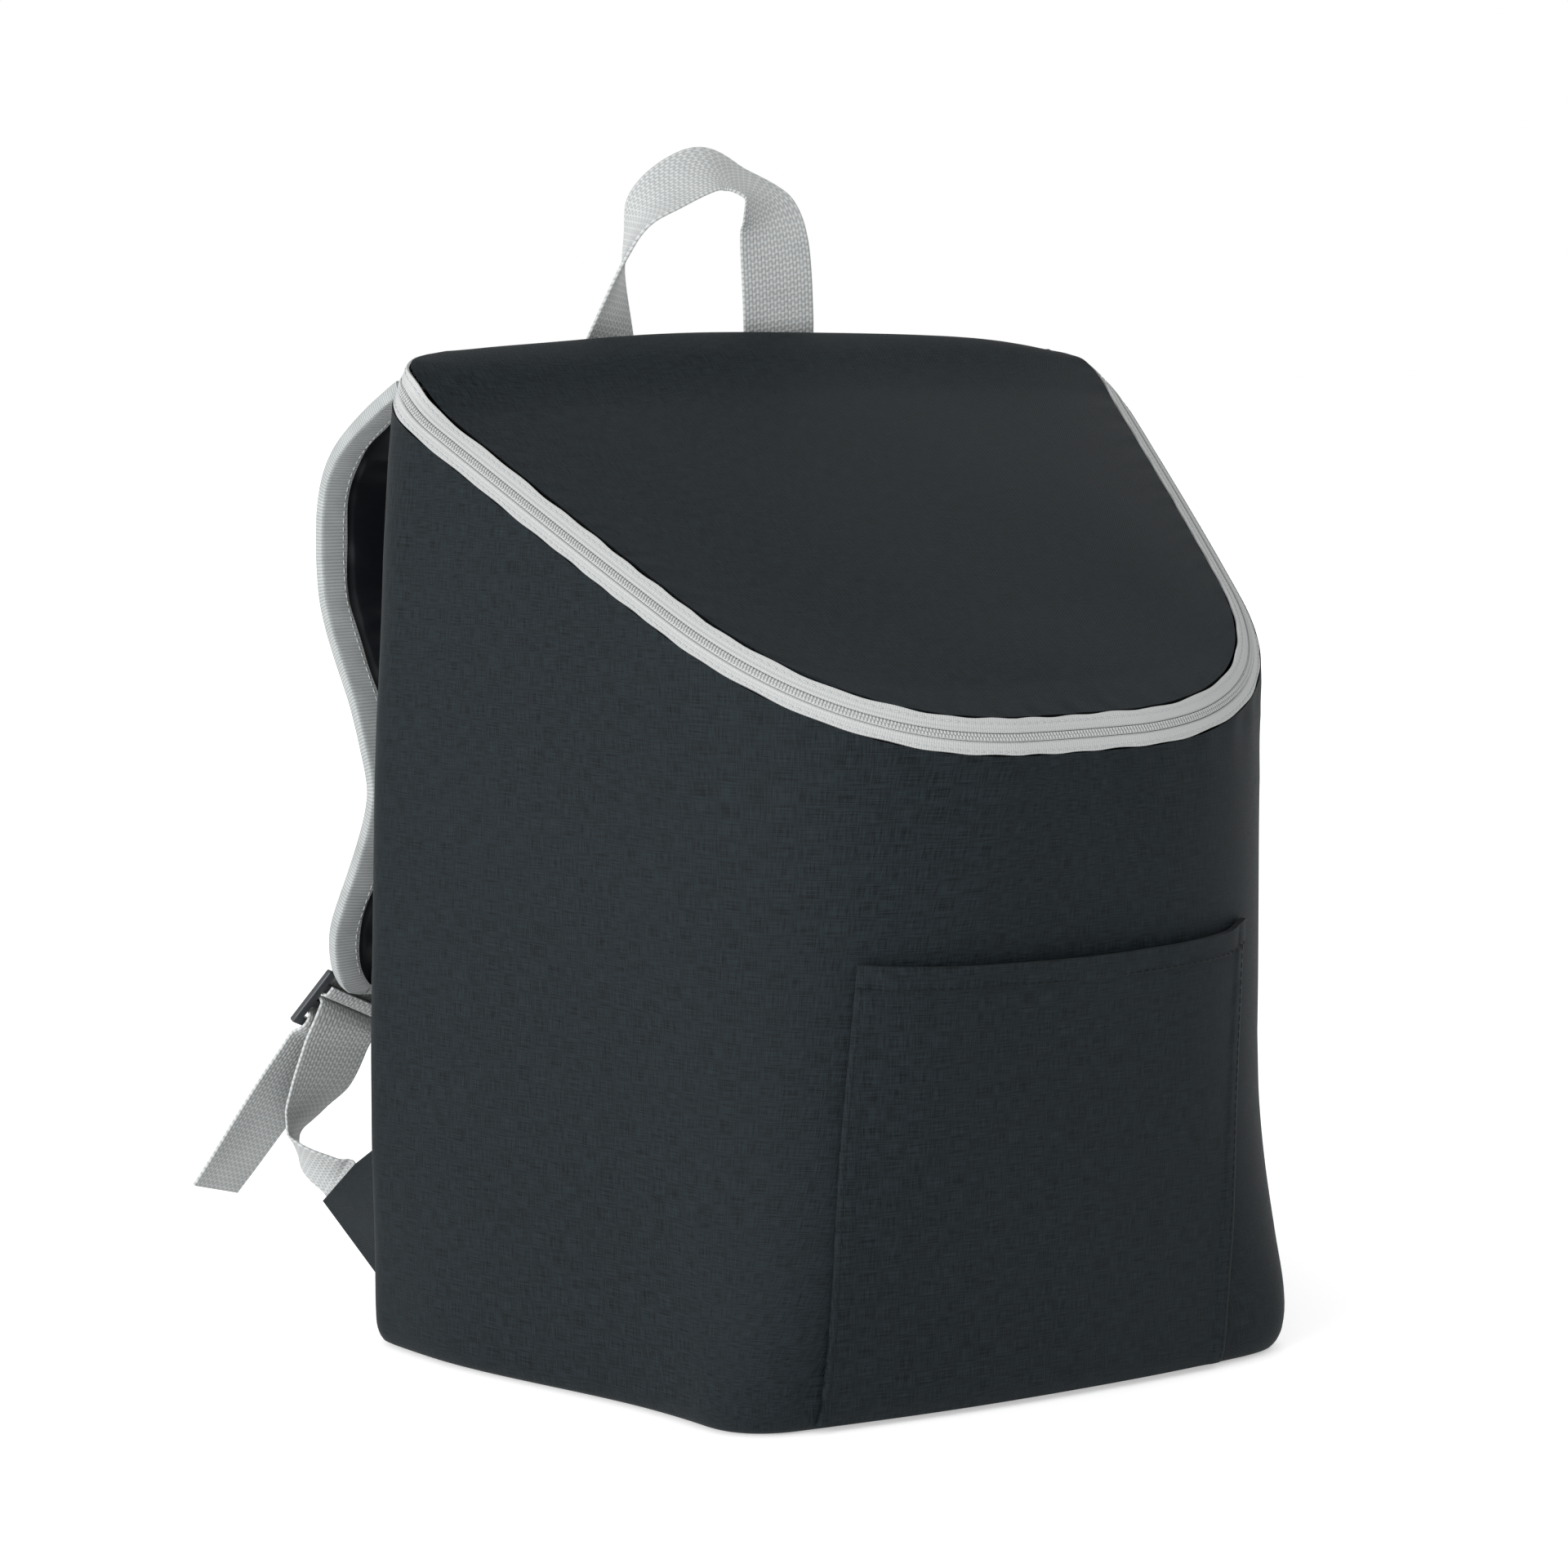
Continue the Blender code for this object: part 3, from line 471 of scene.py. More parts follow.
# %% Grid to closed shell
def make_piece(name, vertices, faces, uvs, finish, smooth=True):
    mesh = bpy.data.meshes.new(name)
    mesh.from_pydata((np.asarray(vertices) * MM).tolist(), [], faces)
    layer = mesh.uv_layers.new(name="cloth")
    corner = np.empty(len(mesh.loops), dtype=np.int32)
    mesh.loops.foreach_get("vertex_index", corner)
    layer.data.foreach_set("uv", (np.asarray(uvs, float)[corner] * MM).ravel())
    mesh.update()
    if smooth:
        mesh.shade_smooth()
        mesh.set_sharp_from_angle(angle=math.radians(50))
    mesh.materials.append(finish)
    return add_object(name, mesh)


def shell_faces(rows, columns):
    """Quads of an outer grid, an inner grid after it and the rim between them."""
    out, ins = np.arange(2 * rows * columns).reshape(2, rows, columns)
    strips = ((out[:-1, :-1], out[:-1, 1:], out[1:, 1:], out[1:, :-1]),
              (ins[1:, :-1], ins[1:, 1:], ins[:-1, 1:], ins[:-1, :-1]),
              (ins[0, :-1], ins[0, 1:], out[0, 1:], out[0, :-1]),
              (out[-1, :-1], out[-1, 1:], ins[-1, 1:], ins[-1, :-1]),
              (out[:-1, 0], out[1:, 0], ins[1:, 0], ins[:-1, 0]),
              (ins[:-1, -1], ins[1:, -1], out[1:, -1], out[:-1, -1]))
    return np.concatenate([np.stack([side.ravel() for side in strip], -1) for strip in strips]).tolist()


def panel(name, outer, inner, uv, finish):
    vertices = np.concatenate([outer.reshape(-1, 3), inner.reshape(-1, 3)])
    uvs = np.concatenate([uv.reshape(-1, 2)] * 2)
    return make_piece(name, vertices, shell_faces(*outer.shape[:2]), uvs, finish)


def face_outward(piece, mixed=False):
    """Turn a closed piece right side out. In a mixed one, neighbouring faces are made to agree first."""
    shape = bmesh.new()
    shape.from_mesh(piece.data)
    if mixed:
        bmesh.ops.recalc_face_normals(shape, faces=shape.faces)
    inside_out = shape.calc_volume(signed=True) < 0
    if inside_out:
        bmesh.ops.reverse_faces(shape, faces=shape.faces)
    if mixed or inside_out:
        shape.to_mesh(piece.data)
    shape.free()
    return piece


def ring_faces(count, size):
    """Point numbers of count rings of size points, and the quads that join each ring to the next."""
    at = np.arange(count * size).reshape(count, size)
    ahead = np.roll(at, -1, axis=1)
    return at, np.stack([at[:-1], ahead[:-1], ahead[1:], at[1:]], -1).reshape(-1, 4).tolist()


def tube(name, rings, uvs, finish):
    """Closed solid through rings of points, with a face at either end."""
    at, quads = ring_faces(*rings.shape[:2])
    ends = [tuple(at[0][::-1].tolist()), tuple(at[-1].tolist())]
    return face_outward(make_piece(name, rings.reshape(-1, 3), quads + ends, uvs.reshape(-1, 2), finish))


def soft_waves(u, v, lengths, seed):
    """Sum of long waves over the cloth, about 1 high."""
    numbers = np.random.RandomState(seed)
    total = 0 * u
    for length in lengths:
        turn, phase = numbers.uniform(0, np.pi), numbers.uniform(0, 2 * np.pi)
        total = total + np.sin(2 * np.pi * (u * np.cos(turn) + v * np.sin(turn)) / length + phase)
    return total / len(lengths)


def dress(piece, node=None):
    """The piece rides on the body and stands for its solid, where it has one."""
    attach(piece, "root")
    if node:
        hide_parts(node)
    print(piece.name, "faces:", len(piece.data.polygons))
    return piece


def spread(values, running):
    """UV pairs of a solid made of rings: one value for each place round a ring, and the distance along."""
    return np.stack(np.broadcast_arrays(values[None], running[:, None]), -1)

# %% [markdown]
# ## The wall
# One length of padded cloth runs from the back left seam round the front to the back right seam. It is
# drawn in at its foot, where it turns under to the base, and it puckers a little where the zip is sewn to
# it, because the tape is tighter than the cloth. All of it is a few tenths of a millimetre of movement
# along the normals.

# %% Sew the wall
ROWS_UP, MEASURED_AT = 92, 120.0


def foot_inset(z):
    reach = np.clip((FOOT_HEIGHT - z) / FOOT_HEIGHT, 0.0, 1.0)
    return FOOT_INSET * (1 - np.sqrt(1 - reach * reach))


def side_wall():
    around = run_length([wall_column(c, MEASURED_AT)[0] for c in range(COLUMNS)])
    share = np.concatenate([np.linspace(0, 0.03, 8)[:-1], np.linspace(0.03, 0.9, ROWS_UP - 22)[:-1],
                            np.linspace(0.9, 1.0, 16)])
    columns = []
    for c in range(COLUMNS):
        top = ZIP_POINT[c][2]
        z = top * share
        running = around[c] + 0 * z
        below = np.maximum(top - z, 0.0)
        pucker = 0.42 * np.exp(-below / 9) * (1 - np.exp(-below / 1.5))
        pucker *= np.sin(running / 2.3 + 2 * np.sin(running / 31)) + 0.6 * np.sin(running / 5.1 + 1)
        fold = 0.3 * np.exp(-np.abs(z - 13) / 9) * np.sin(running / 9.0 + 1.7 * np.sin(running / 47))
        waves = 0.75 * soft_waves(running, z, (260, 170, 120, 210, 90), 5)
        ease = waves * smooth_step(below / 30) * smooth_step(z / 40)
        outer = wall_column(c, z, pucker + fold + ease - foot_inset(z))[0]
        inner = wall_column(c, np.minimum(z, top - WALL * np.tan(TILT[c, 0])), -WALL - foot_inset(z))[0]
        columns.append((outer, inner, np.stack([running, z], -1)))
    return panel("wall_cloth", *(np.swapaxes(np.array(part), 0, 1) for part in zip(*columns)), shell_cloth)


wall_cloth = dress(side_wall(), "side_wrap")

# %% [markdown]
# ## Back and base
# The back is one flat padded panel, and the base a stiffened one that the wall's foot wraps. Neither shows
# in the photograph, so both stay plain, and the back is slightly crowned.

# %% Back panel
def back_panel():
    top = HEM_HEIGHT - GAP
    rows = []
    for z in top * np.linspace(0, 1, 70):
        _, back_half, _, _, back_corner, _, _ = eased(PLANS, np.array(min(z, ZIP_BACK_HEIGHT)))
        half = back_half - back_corner - BACK_RETURN - GAP
        x = np.linspace(half, -half, 61)
        level = z + 0 * x
        y = back_line(z) - foot_inset(z) + 0 * x
        edge = np.minimum(half - np.abs(x), 40) / 40
        waves = 0.3 * soft_waves(x, level, (190, 130, 90), 8) * edge
        ease = (0.28 * np.sqrt(edge) + waves) * smooth_step((top - z) / 40)
        parts = [x, y + ease, level], [x, y - WALL, level], [-x, level]
        rows.append([np.stack(part, -1) for part in parts])
    return panel("back_cloth", *(np.array(part) for part in zip(*rows)), shell_cloth)


back_cloth = dress(back_panel(), "back_panel")


# %% Base panel
def base_panel():
    inset = FOOT_INSET + WALL + GAP
    ring = np.array([wall_column(c, 0.0, -inset)[0][:2] for c in range(0, COLUMNS, 3)])
    ring[:, 1] = np.minimum(ring[:, 1], BACK_Y - inset)
    middle = np.array([0.0, 5.0])
    shares = np.linspace(1.0, 0.0, 12)[:-1]
    steps = [(share, 0.0) for share in shares[::-1]] + [(share, WALL) for share in shares]
    layers = np.array([np.column_stack([middle + (ring - middle) * share, np.full(len(ring), z)])
                       for share, z in steps])
    return tube("base_cloth", layers, layers[..., :2], shell_cloth)


base_cloth = dress(base_panel(), "base_panel")

# %% [markdown]
# ## The lid
# The lid is one padded flap. Three of its sides follow the zip, and the fourth rolls over the top of the
# back and is hemmed down on it. A Coons patch spans the four edges, a crown lifts its middle, and the cloth
# is gathered in small uneven bumps along the zip.

# %% Spread the lid over its edges
LID_HEIGHT, LID_ROLL, LID_CROWN = 357.0, 8.0, 7.0


def coons(left, right, back, front):
    """Surface between four edges, with rows from back to front and columns from left to right."""
    v = np.linspace(0, 1, len(left))[:, None, None]
    u = np.linspace(0, 1, len(front))[None, :, None]
    ruled = back[None] * (1 - v) + front[None] * v + left[:, None] * (1 - u) + right[:, None] * u
    top = left[0] * (1 - u) + right[0] * u
    foot = left[-1] * (1 - u) + right[-1] * u
    return ruled - (top * (1 - v) + foot * v)


def grid_normals(grid):
    return unit(np.cross(np.gradient(grid, axis=1), np.gradient(grid, axis=0)))


def lid_panel():
    edge = ZIP_POINT + TAPE_ACROSS * TAPE_WIDTH - ZIP_OUT * 1.5 + np.array([0, 0, 0.3])
    corner = FINE + BACK_STEPS + SIDE_STEPS + 3 * FINE
    left, right = (line[:corner + 1].copy() for line in (edge, edge[::-1]))
    front = edge[corner:COLUMNS - corner]
    half = -left[0][0] - GAP
    left[0][0], right[0][0] = -half, half
    u = np.linspace(0, 1, len(front))
    back = left[0] + (right[0] - left[0]) * u[:, None]
    back[:, 2] += (LID_HEIGHT - back[:, 2]) * (1 - np.abs(2 * u - 1) ** 2.4)
    surface = coons(left, right, back, front)
    v = np.linspace(0, 1, len(left))[:, None]
    across = 1 - np.abs(2 * u - 1) ** 3
    surface[..., 2] += LID_CROWN * across * (1 - v ** 4) * np.sin(np.pi * np.minimum(v + 0.08, 1)) ** 0.5
    edge_line = surface[0]
    depth = np.minimum(LID_ROLL, 0.75 * (edge_line[:, 2] - HEM_HEIGHT))
    hem_line = back_line(HEM_HEIGHT)
    roll = []
    for angle in np.radians(np.linspace(90, 0, 10)[1:]):
        turned = edge_line.copy()
        turned[:, 1] += (hem_line - edge_line[:, 1]) * np.cos(angle)
        turned[:, 2] += depth * (np.sin(angle) - 1)
        roll.append(turned)
    hem = np.stack([edge_line[:, 0], hem_line + 0 * u, HEM_HEIGHT + 0 * u], -1)
    hang = [roll[-1] * (1 - t) + hem * t for t in (0.25, 0.5, 0.75, 1.0)]
    return np.concatenate([surface[::-1], np.array(roll), np.array(hang)]), len(left)


def lid_detail(grid, rows):
    """Cloth lengths over the lid and the movement of each point along its normal."""
    across = np.cumsum(np.linalg.norm(np.diff(grid, axis=1, prepend=grid[:, :1]), axis=2), axis=1)
    along = np.cumsum(np.linalg.norm(np.diff(grid, axis=0, prepend=grid[:1]), axis=2), axis=0)
    across -= across[:, grid.shape[1] // 2][:, None]
    from_side = np.minimum(across - across[:, :1], across[:, -1:] - across)
    row = np.arange(len(grid))[:, None]
    near = np.minimum(np.where(row < rows, from_side, 60), along)
    path = np.where(along < from_side, across, along + 37)
    bump = np.sin(path / 2.6 + 1.8 * np.sin(path / 23)) + 0.5 * np.sin(path / 1.3 + 3 * np.sin(path / 41))
    gather = 0.34 * np.exp(-near / 6) * (1 - np.exp(-(near + 0.4) / 1.2)) * bump
    ease = 1.1 * soft_waves(across, along, (150, 230, 110, 180), 21) * smooth_step(near / 45)
    return np.stack([across, along], -1), (gather + ease) * smooth_step((len(grid) - 1 - row) / 8)


def lid_inside(grid, normal):
    inner = grid - normal * WALL
    step = unit(inner[1] - inner[0])
    inner[0] += step * 3.0
    for first, second in ((0, 1), (-1, -2)):
        inward = unit(inner[:, second] - inner[:, first])
        inside = inner[:, first, 1] < back_line(HEM_HEIGHT) - WALL - 1
        inner[:, first] += inward * np.where(inside, 3.0, 0.0)[:, None]
    return inner


lid_grid, LID_ROWS = lid_panel()
lid_normal = -grid_normals(lid_grid)
lid_normal *= np.sign(lid_normal[LID_ROWS // 2, lid_grid.shape[1] // 2, 2])
lid_uv, lid_move = lid_detail(lid_grid, LID_ROWS)
lid_outside = lid_grid + lid_normal * lid_move[..., None]
lid_cloth = panel("lid_cloth", lid_outside, lid_inside(lid_grid, lid_normal), lid_uv, shell_cloth)
dress(lid_cloth, "lid")

# %% [markdown]
# ## The zip
# Two tapes run along the cut with the coil between them. Each tape is swept along the same line as a small
# profile with a raised cord beside the coil, and its free edge wavers, as sewn tape does.

# %% Sweep a profile along frames
TAPE_THICK, TAPE_WAVER, UV_SHIFT = 1.0, 0.2, 50
# node, then lower edge, upper edge, cord and sewn edge, in millimetres above the wall's edge
TAPES = (("zip_tape_lower", 0.5, 4.9, 4.1, 0.5), ("zip_tape_upper", 7.9, TAPE_WIDTH, 8.7, TAPE_WIDTH))


def sweep(name, middles, across, normal, profile, finish, wobble=0.0):
    """Closed solid: profile holds (across, out) pairs in millimetres, one ring of them for each frame."""
    profile = np.array(profile, float)
    wide, high = profile[None, :, :1], profile[None, :, 1:2]
    rings = middles[:, None] + across[:, None] * wide + normal[:, None] * high + wobble
    return tube(name, rings, spread(profile[:, 0] + UV_SHIFT, run_length(middles)), finish)


def tape_profile(start, end, cord_at):
    """Flat tape with a rounded cord along it and a low ridge in its middle."""
    flat = np.linspace(start, end, 15)
    middle = (start + end) / 2
    cord = 0.34 * np.exp(-((flat - cord_at) / 0.55) ** 2)
    ridge = 0.14 * np.exp(-((flat - middle) / 0.5) ** 2)
    thinned = 0.12 * (np.abs(flat - middle) > (end - start) / 2 - 0.2)
    top = np.stack([flat, cord + ridge - thinned], -1)
    return np.concatenate([top, [[end, -TAPE_THICK], [start, -TAPE_THICK]]])


def edge_waver(profile, edge):
    """Movement across the tape that is largest at its sewn edge."""
    reach = np.exp(-np.abs(profile[:, 0] - edge) / 1.2)
    wave = np.sin(ZIP_RUNNING / 3.1 + 2 * np.sin(ZIP_RUNNING / 27)) + 0.7 * np.sin(ZIP_RUNNING / 7.3 + 1)
    return TAPE_WAVER * wave[:, None, None] * reach[None, :, None] * TAPE_ACROSS[:, None]


for node, start, end, cord_at, sewn_edge in TAPES:
    profile = tape_profile(start, end, cord_at)
    waver = edge_waver(profile, sewn_edge)
    tape = sweep(node + "_cloth", ZIP_POINT, TAPE_ACROSS, TAPE_OUT, profile, zip_cloth, waver)
    dress(tape, node)

# %% [markdown]
# ## Things in a row, by Geometry Nodes
# Zip teeth and stitches are the same idea: a small rounded body, set again and again along a line at an
# even pitch. One node tree does both. The line is a mesh whose points carry the direction that faces
# outwards, the tree turns it into a curve, measures off the pitch, and stands a body on every mark.

# %% A tree that sets bodies along a line
def row_tree():
    tree = bpy.data.node_groups.new("bodies_in_a_row", "GeometryNodeTree")
    tree.interface.new_socket("Geometry", in_out="INPUT", socket_type="NodeSocketGeometry")
    for words in ("Pitch", "Length", "Width", "Height", "Slant", "Finish"):
        kind = "NodeSocketMaterial" if words == "Finish" else "NodeSocketFloat"
        tree.interface.new_socket(words, in_out="INPUT", socket_type=kind)
    tree.interface.new_socket("Geometry", in_out="OUTPUT", socket_type="NodeSocketGeometry")

    def add(kind, settings=(), **links):
        made = tree.nodes.new(kind)
        for key, value in dict(settings).items():
            setattr(made, key, value)
        for key, source in links.items():
            socket = made.inputs[key.replace("_", " ")]
            if isinstance(source, bpy.types.NodeSocket):
                tree.links.new(source, socket)
            else:
                socket.default_value = source
        return made

    given = add("NodeGroupInput").outputs
    curve = add("GeometryNodeMeshToCurve", Mesh=given["Geometry"])
    marks = add("GeometryNodeResampleCurve", {"mode": "LENGTH"}, Curve=curve.outputs[0],
                Length=given["Pitch"])
    body = add("GeometryNodeMeshUVSphere", Segments=8, Rings=6, Radius=0.5)
    facing = add("GeometryNodeInputNamedAttribute", {"data_type": "FLOAT_VECTOR"}, Name="out")
    tangent = add("GeometryNodeInputTangent")
    lean = add("FunctionNodeAxisAngleToRotation", Axis=(0.0, 0.0, 1.0), Angle=given["Slant"])
    along = add("FunctionNodeAlignRotationToVector", {"axis": "X"}, Vector=tangent.outputs[0])
    upright = add("FunctionNodeAlignRotationToVector", {"axis": "Z", "pivot_axis": "X"},
                  Rotation=along.outputs[0], Vector=facing.outputs[0])
    turned = add("FunctionNodeRotateRotation", {"rotation_space": "LOCAL"}, Rotation=upright.outputs[0],
                 Rotate_By=lean.outputs[0])
    size = add("ShaderNodeCombineXYZ", X=given["Length"], Y=given["Width"], Z=given["Height"])
    placed = add("GeometryNodeInstanceOnPoints", Points=marks.outputs[0], Instance=body.outputs[0],
                 Rotation=turned.outputs[0], Scale=size.outputs[0])
    real = add("GeometryNodeRealizeInstances", Geometry=placed.outputs[0])
    shaded = add("GeometryNodeSetShadeSmooth", Geometry=real.outputs[0])
    finished = add("GeometryNodeSetMaterial", Geometry=shaded.outputs[0], Material=given["Finish"])
    add("NodeGroupOutput", Geometry=finished.outputs[0])
    return tree


ROW_TREE = row_tree()


def row_along(name, lines, finish, pitch, length, width, height, slant=0.0):
    """Piece of small bodies along lines; a line is points and outward directions, in millimetres."""
    vertices, edges, facing = [], [], []
    for points, outward in lines:
        start = len(vertices)
        vertices += (np.asarray(points) * MM).tolist()
        facing += np.broadcast_to(outward, np.shape(points)).tolist()
        edges += [(k, k + 1) for k in range(start, len(vertices) - 1)]
    guide = bpy.data.meshes.new(name + "_guide")
    guide.from_pydata(vertices, edges, [])
    guide.attributes.new("out", "FLOAT_VECTOR", "POINT").data.foreach_set("vector", np.ravel(facing))
    holder = add_object(name + "_guide", guide)
    modifier = holder.modifiers.new("row", "NODES")
    modifier.node_group = ROW_TREE
    values = {"Pitch": pitch * MM, "Length": length * MM, "Width": width * MM, "Height": height * MM,
              "Slant": slant, "Finish": finish}
    for item in ROW_TREE.interface.items_tree:
        if item.in_out == "INPUT" and item.name in values:
            modifier[item.identifier] = values[item.name]
    mesh = bpy.data.meshes.new_from_object(holder.evaluated_get(bpy.context.evaluated_depsgraph_get()))
    mesh.name = name
    if not mesh.materials:
        mesh.materials.append(finish)
    piece = add_object(name, mesh)
    bpy.data.objects.remove(holder)
    return piece


# %% The coil: a core and its teeth
COIL_CORE = ((5.1, -1.0), (5.1, -0.2), (5.7, 0.15), (6.4, 0.2), (7.1, 0.15), (7.7, -0.2), (7.7, -1.0))


def zip_line(across, lift):
    """A line along the zip, so many millimetres above the wall's edge and out from it."""
    return ZIP_POINT + TAPE_ACROSS * across + TAPE_OUT * lift, TAPE_OUT


dress(sweep("zip_coil_core", ZIP_POINT, TAPE_ACROSS, TAPE_OUT, COIL_CORE, coil_nylon), "zip_coil")
teeth = [zip_line(5.85, 0.35), zip_line(6.95, 0.35)]
dress(row_along("zip_coil_teeth", teeth, coil_nylon, 1.2, 0.85, 1.5, 0.75, slant=0.3))

# %% [markdown]
# ## The front pocket
# The pocket is a patch of the same cloth with its sides folded under, sewn down at the sides and foot. Its
# top is turned over into a hem about 8 mm deep and stands open a few millimetres. It is thin cloth with no
# padding, so it shows shallow folds of its own.

# %% Cut and fold the pocket
POCKET_TOP, POCKET_FOOT, POCKET_HALF, POCKET_FOOT_LEFT = 160.0, 4.0, 78.0, 88.0
POCKET_HIDDEN_FOOT = 2.0
POCKET_CLOTH, POCKET_GAPE, POCKET_HEM = 1.5, 3.0, 8.5
FRONT_COLUMNS = range(HALF_COUNT - 1 - FRONT_STEPS - CORNER_STEPS, HALF_COUNT + FRONT_STEPS + CORNER_STEPS)
FRONT_STEP, FRONT_TOP = 3.0, 171.0
FRONT_HEIGHTS = np.arange(0.0, FRONT_TOP, FRONT_STEP)
FRONT_GRID = [wall_column(c, FRONT_HEIGHTS) for c in FRONT_COLUMNS]
FRONT_POINTS, FRONT_NORMALS = (np.array(part) for part in zip(*FRONT_GRID))


def on_front(x, z):
    """Points of the front at places x and heights z, and its outward normals there."""
    points, normals = np.empty((*x.shape, 3)), np.empty((*x.shape, 3))
    for index, height in np.ndenumerate(z):
        row = min(int(height / FRONT_STEP), len(FRONT_HEIGHTS) - 2)
        t = height / FRONT_STEP - row
        place, facing = (part[:, row] * (1 - t) + part[:, row + 1] * t
                         for part in (FRONT_POINTS, FRONT_NORMALS))
        for k in range(3):
            points[index][k] = np.interp(x[index], place[:, 0], place[:, k])
            normals[index][k] = np.interp(x[index], place[:, 0], facing[:, k])
    return points, unit(normals)


def pocket_half(z, share):
    """Half the width of the pocket: the left side runs outwards to the foot, the right side straight down."""
    rise = (z - POCKET_FOOT) / (POCKET_TOP - POCKET_FOOT)
    left = POCKET_FOOT_LEFT + (POCKET_HALF - POCKET_FOOT_LEFT) * rise
    return np.where(share < 0, left, POCKET_HALF)


def pocket_layers(z, share):
    """Points and normals of the front behind the pocket, the cloth's distance from it and half its width."""
    rise = (z - POCKET_FOOT) / (POCKET_TOP - POCKET_FOOT)
    half = pocket_half(z, share)
    dip = (2.5 * (1 - share * share) - 2.2 * smooth_step((share - 0.84) / 0.16)) * rise ** 4
    place, normal = on_front(half * share, z - dip)
    stand = GAP + 0.4 + POCKET_GAPE * np.maximum(rise, 0) ** 3 * (1 - share ** 4) - foot_inset(z)
    return place, normal, stand, half


def front_pocket():
    fold = POCKET_TOP - POCKET_HEM
    heights = np.concatenate([np.linspace(POCKET_HIDDEN_FOOT, fold - 1.2, 62),
                              fold + np.array([-0.6, -0.2, 0.2, 0.6, 1.4]),
                              np.linspace(fold + 2.4, POCKET_TOP, 7)])
    edge = np.array([0.0, 0.006, 0.014, 0.03, 0.045, 0.058, 0.066, 0.075])
    share = np.concatenate([-1 + edge, np.linspace(-0.9, 0.9, 73), 1 - edge[::-1]])
    z, s = np.meshgrid(heights, share, indexing="ij")
    place, normal, stand, half = pocket_layers(z, s)
    from_side = (1 - np.abs(s)) * half
    hem = smooth_step((z - fold + 0.5) / 1.0)
    turned = smooth_step((6.4 - from_side) / 1.4)
    thick = np.maximum(0.9 * hem, 0.45 * turned)
    rounding = -0.5 * np.exp(-from_side / 0.4)
    wave = 0.35 * soft_waves(half * s, z, (70, 110, 160, 46), 33) * smooth_step(np.minimum(from_side, z) / 16)
    lip = 0.5 * np.sin(half * s / 13 + 1.1) * smooth_step((z - 118) / 40) * smooth_step(from_side / 12)
    pull = 0.22 * np.sin(z / 2.9 + 1.4 * np.sin(z / 19)) * np.exp(-((from_side - 5.6) / 2.2) ** 2)
    dent = -0.28 * np.exp(-((z - fold - 0.2) / 0.7) ** 2) - 0.22 * np.exp(-((from_side - 5.4) / 0.7) ** 2)
    outward = stand + POCKET_CLOTH + thick + rounding + wave + lip + pull + dent
    inward = stand + np.maximum(wave + lip, -0.3) * smooth_step((z - 60) / 60)
    front, back = (place + normal * level[..., None] for level in (outward, inward))
    return panel("pocket_cloth", front, back, np.stack([half * s, z], -1), shell_cloth)


pocket_cloth = dress(front_pocket(), "front_pocket")

# %% [markdown]
# ## Straps as stations
# Every strap is a list of places with the direction in which its width lies. A smooth curve through them
# gives the run, and a flat profile with rounded edges is carried along it. The webbing's weave is in its
# material, and in the profile there is a soft selvedge on both sides.

# %% Stations of the haul loop and the straps
# x, y, z, then how far the width turns from +X towards +Y and how far it rises, in degrees
HAUL_LOOP = (
    (-55.5, 102.2, 312, 0, 0), (-55.5, 103.4, 336, 0, 0), (-55, 106.4, 347, 12, 0), (-54, 108.5, 358, 27, 0),
    (-49, 108, 385.5, 59, 6), (-40.5, 105.5, 405.5, 66, 30), (-17, 104.5, 419.5, 62, 32),
    (-1.5, 101.5, 414.5, 42, 6), (6.3, 98, 404.5, 14, -2), (9, 97, 390.5, 2, 0), (12.5, 100.5, 366, 0, 0),
    (14.5, 103.6, 350, 0, 0), (15.5, 103.4, 336, 0, 0), (15.5, 102.2, 312, 0, 0))
PAD = (
    (-120.5, 104.3, 341, 0, 0), (-123.5, 121, 331.5, 0, 0), (-125.5, 139, 319.5, 0, 0),
    (-126.8, 149, 306.5, 0, 0), (-127.5, 152.5, 289, 0, 0), (-127.5, 150.5, 264, 0, 0),
    (-127.3, 139.5, 244.5, 0, 0), (-126.8, 128.5, 229, 0, 0), (-126.3, 120, 211.5, 0, 0),
    (-126, 115.5, 196, 0, -3), (-126.8, 120.5, 180, 3, -6), (-128.6, 130.5, 161.5, 8, -11),
    (-131.5, 139.5, 142.5, 12, -17), (-131.5, 145, 126.5, 14, -22), (-131, 147.5, 119.5, 15, -24))
LOWER_WEBBING = (
    (-145.4, 155.3, 45.1, 88, -34), (-155.8, 162.3, 52.9, 70, -28), (-159.1, 167.1, 61.4, 59, -9),
    (-155.4, 165.5, 70.3, 38, -7), (-150.7, 160.1, 81.7, 17, -7), (-146.2, 155.5, 97, 15, -20))
TAIL = (
    (-149.9, 162.8, 96.6, 17, -24), (-158.5, 169.5, 82.5, 21, -21), (-166.5, 174.8, 68.9, 25, -19),
    (-175, 180.2, 54.5, 29, -18), (-183, 185.2, 40.7, 32, -17))


def width_direction(turn, rise):
    turn, rise = np.radians(turn), np.radians(rise)
    return np.stack([np.cos(turn) * np.cos(rise), np.sin(turn) * np.cos(rise), np.sin(rise)], -1)


def framed(middles, widths):
    """Middles, width directions and normals of a strap."""
    first, last = middles[1] - middles[0], middles[-1] - middles[-2]
    run = unit(np.concatenate([[first], middles[2:] - middles[:-2], [last]]))
    widths = unit(widths - run * np.sum(widths * run, axis=1)[:, None])
    return middles, widths, np.cross(run, widths)


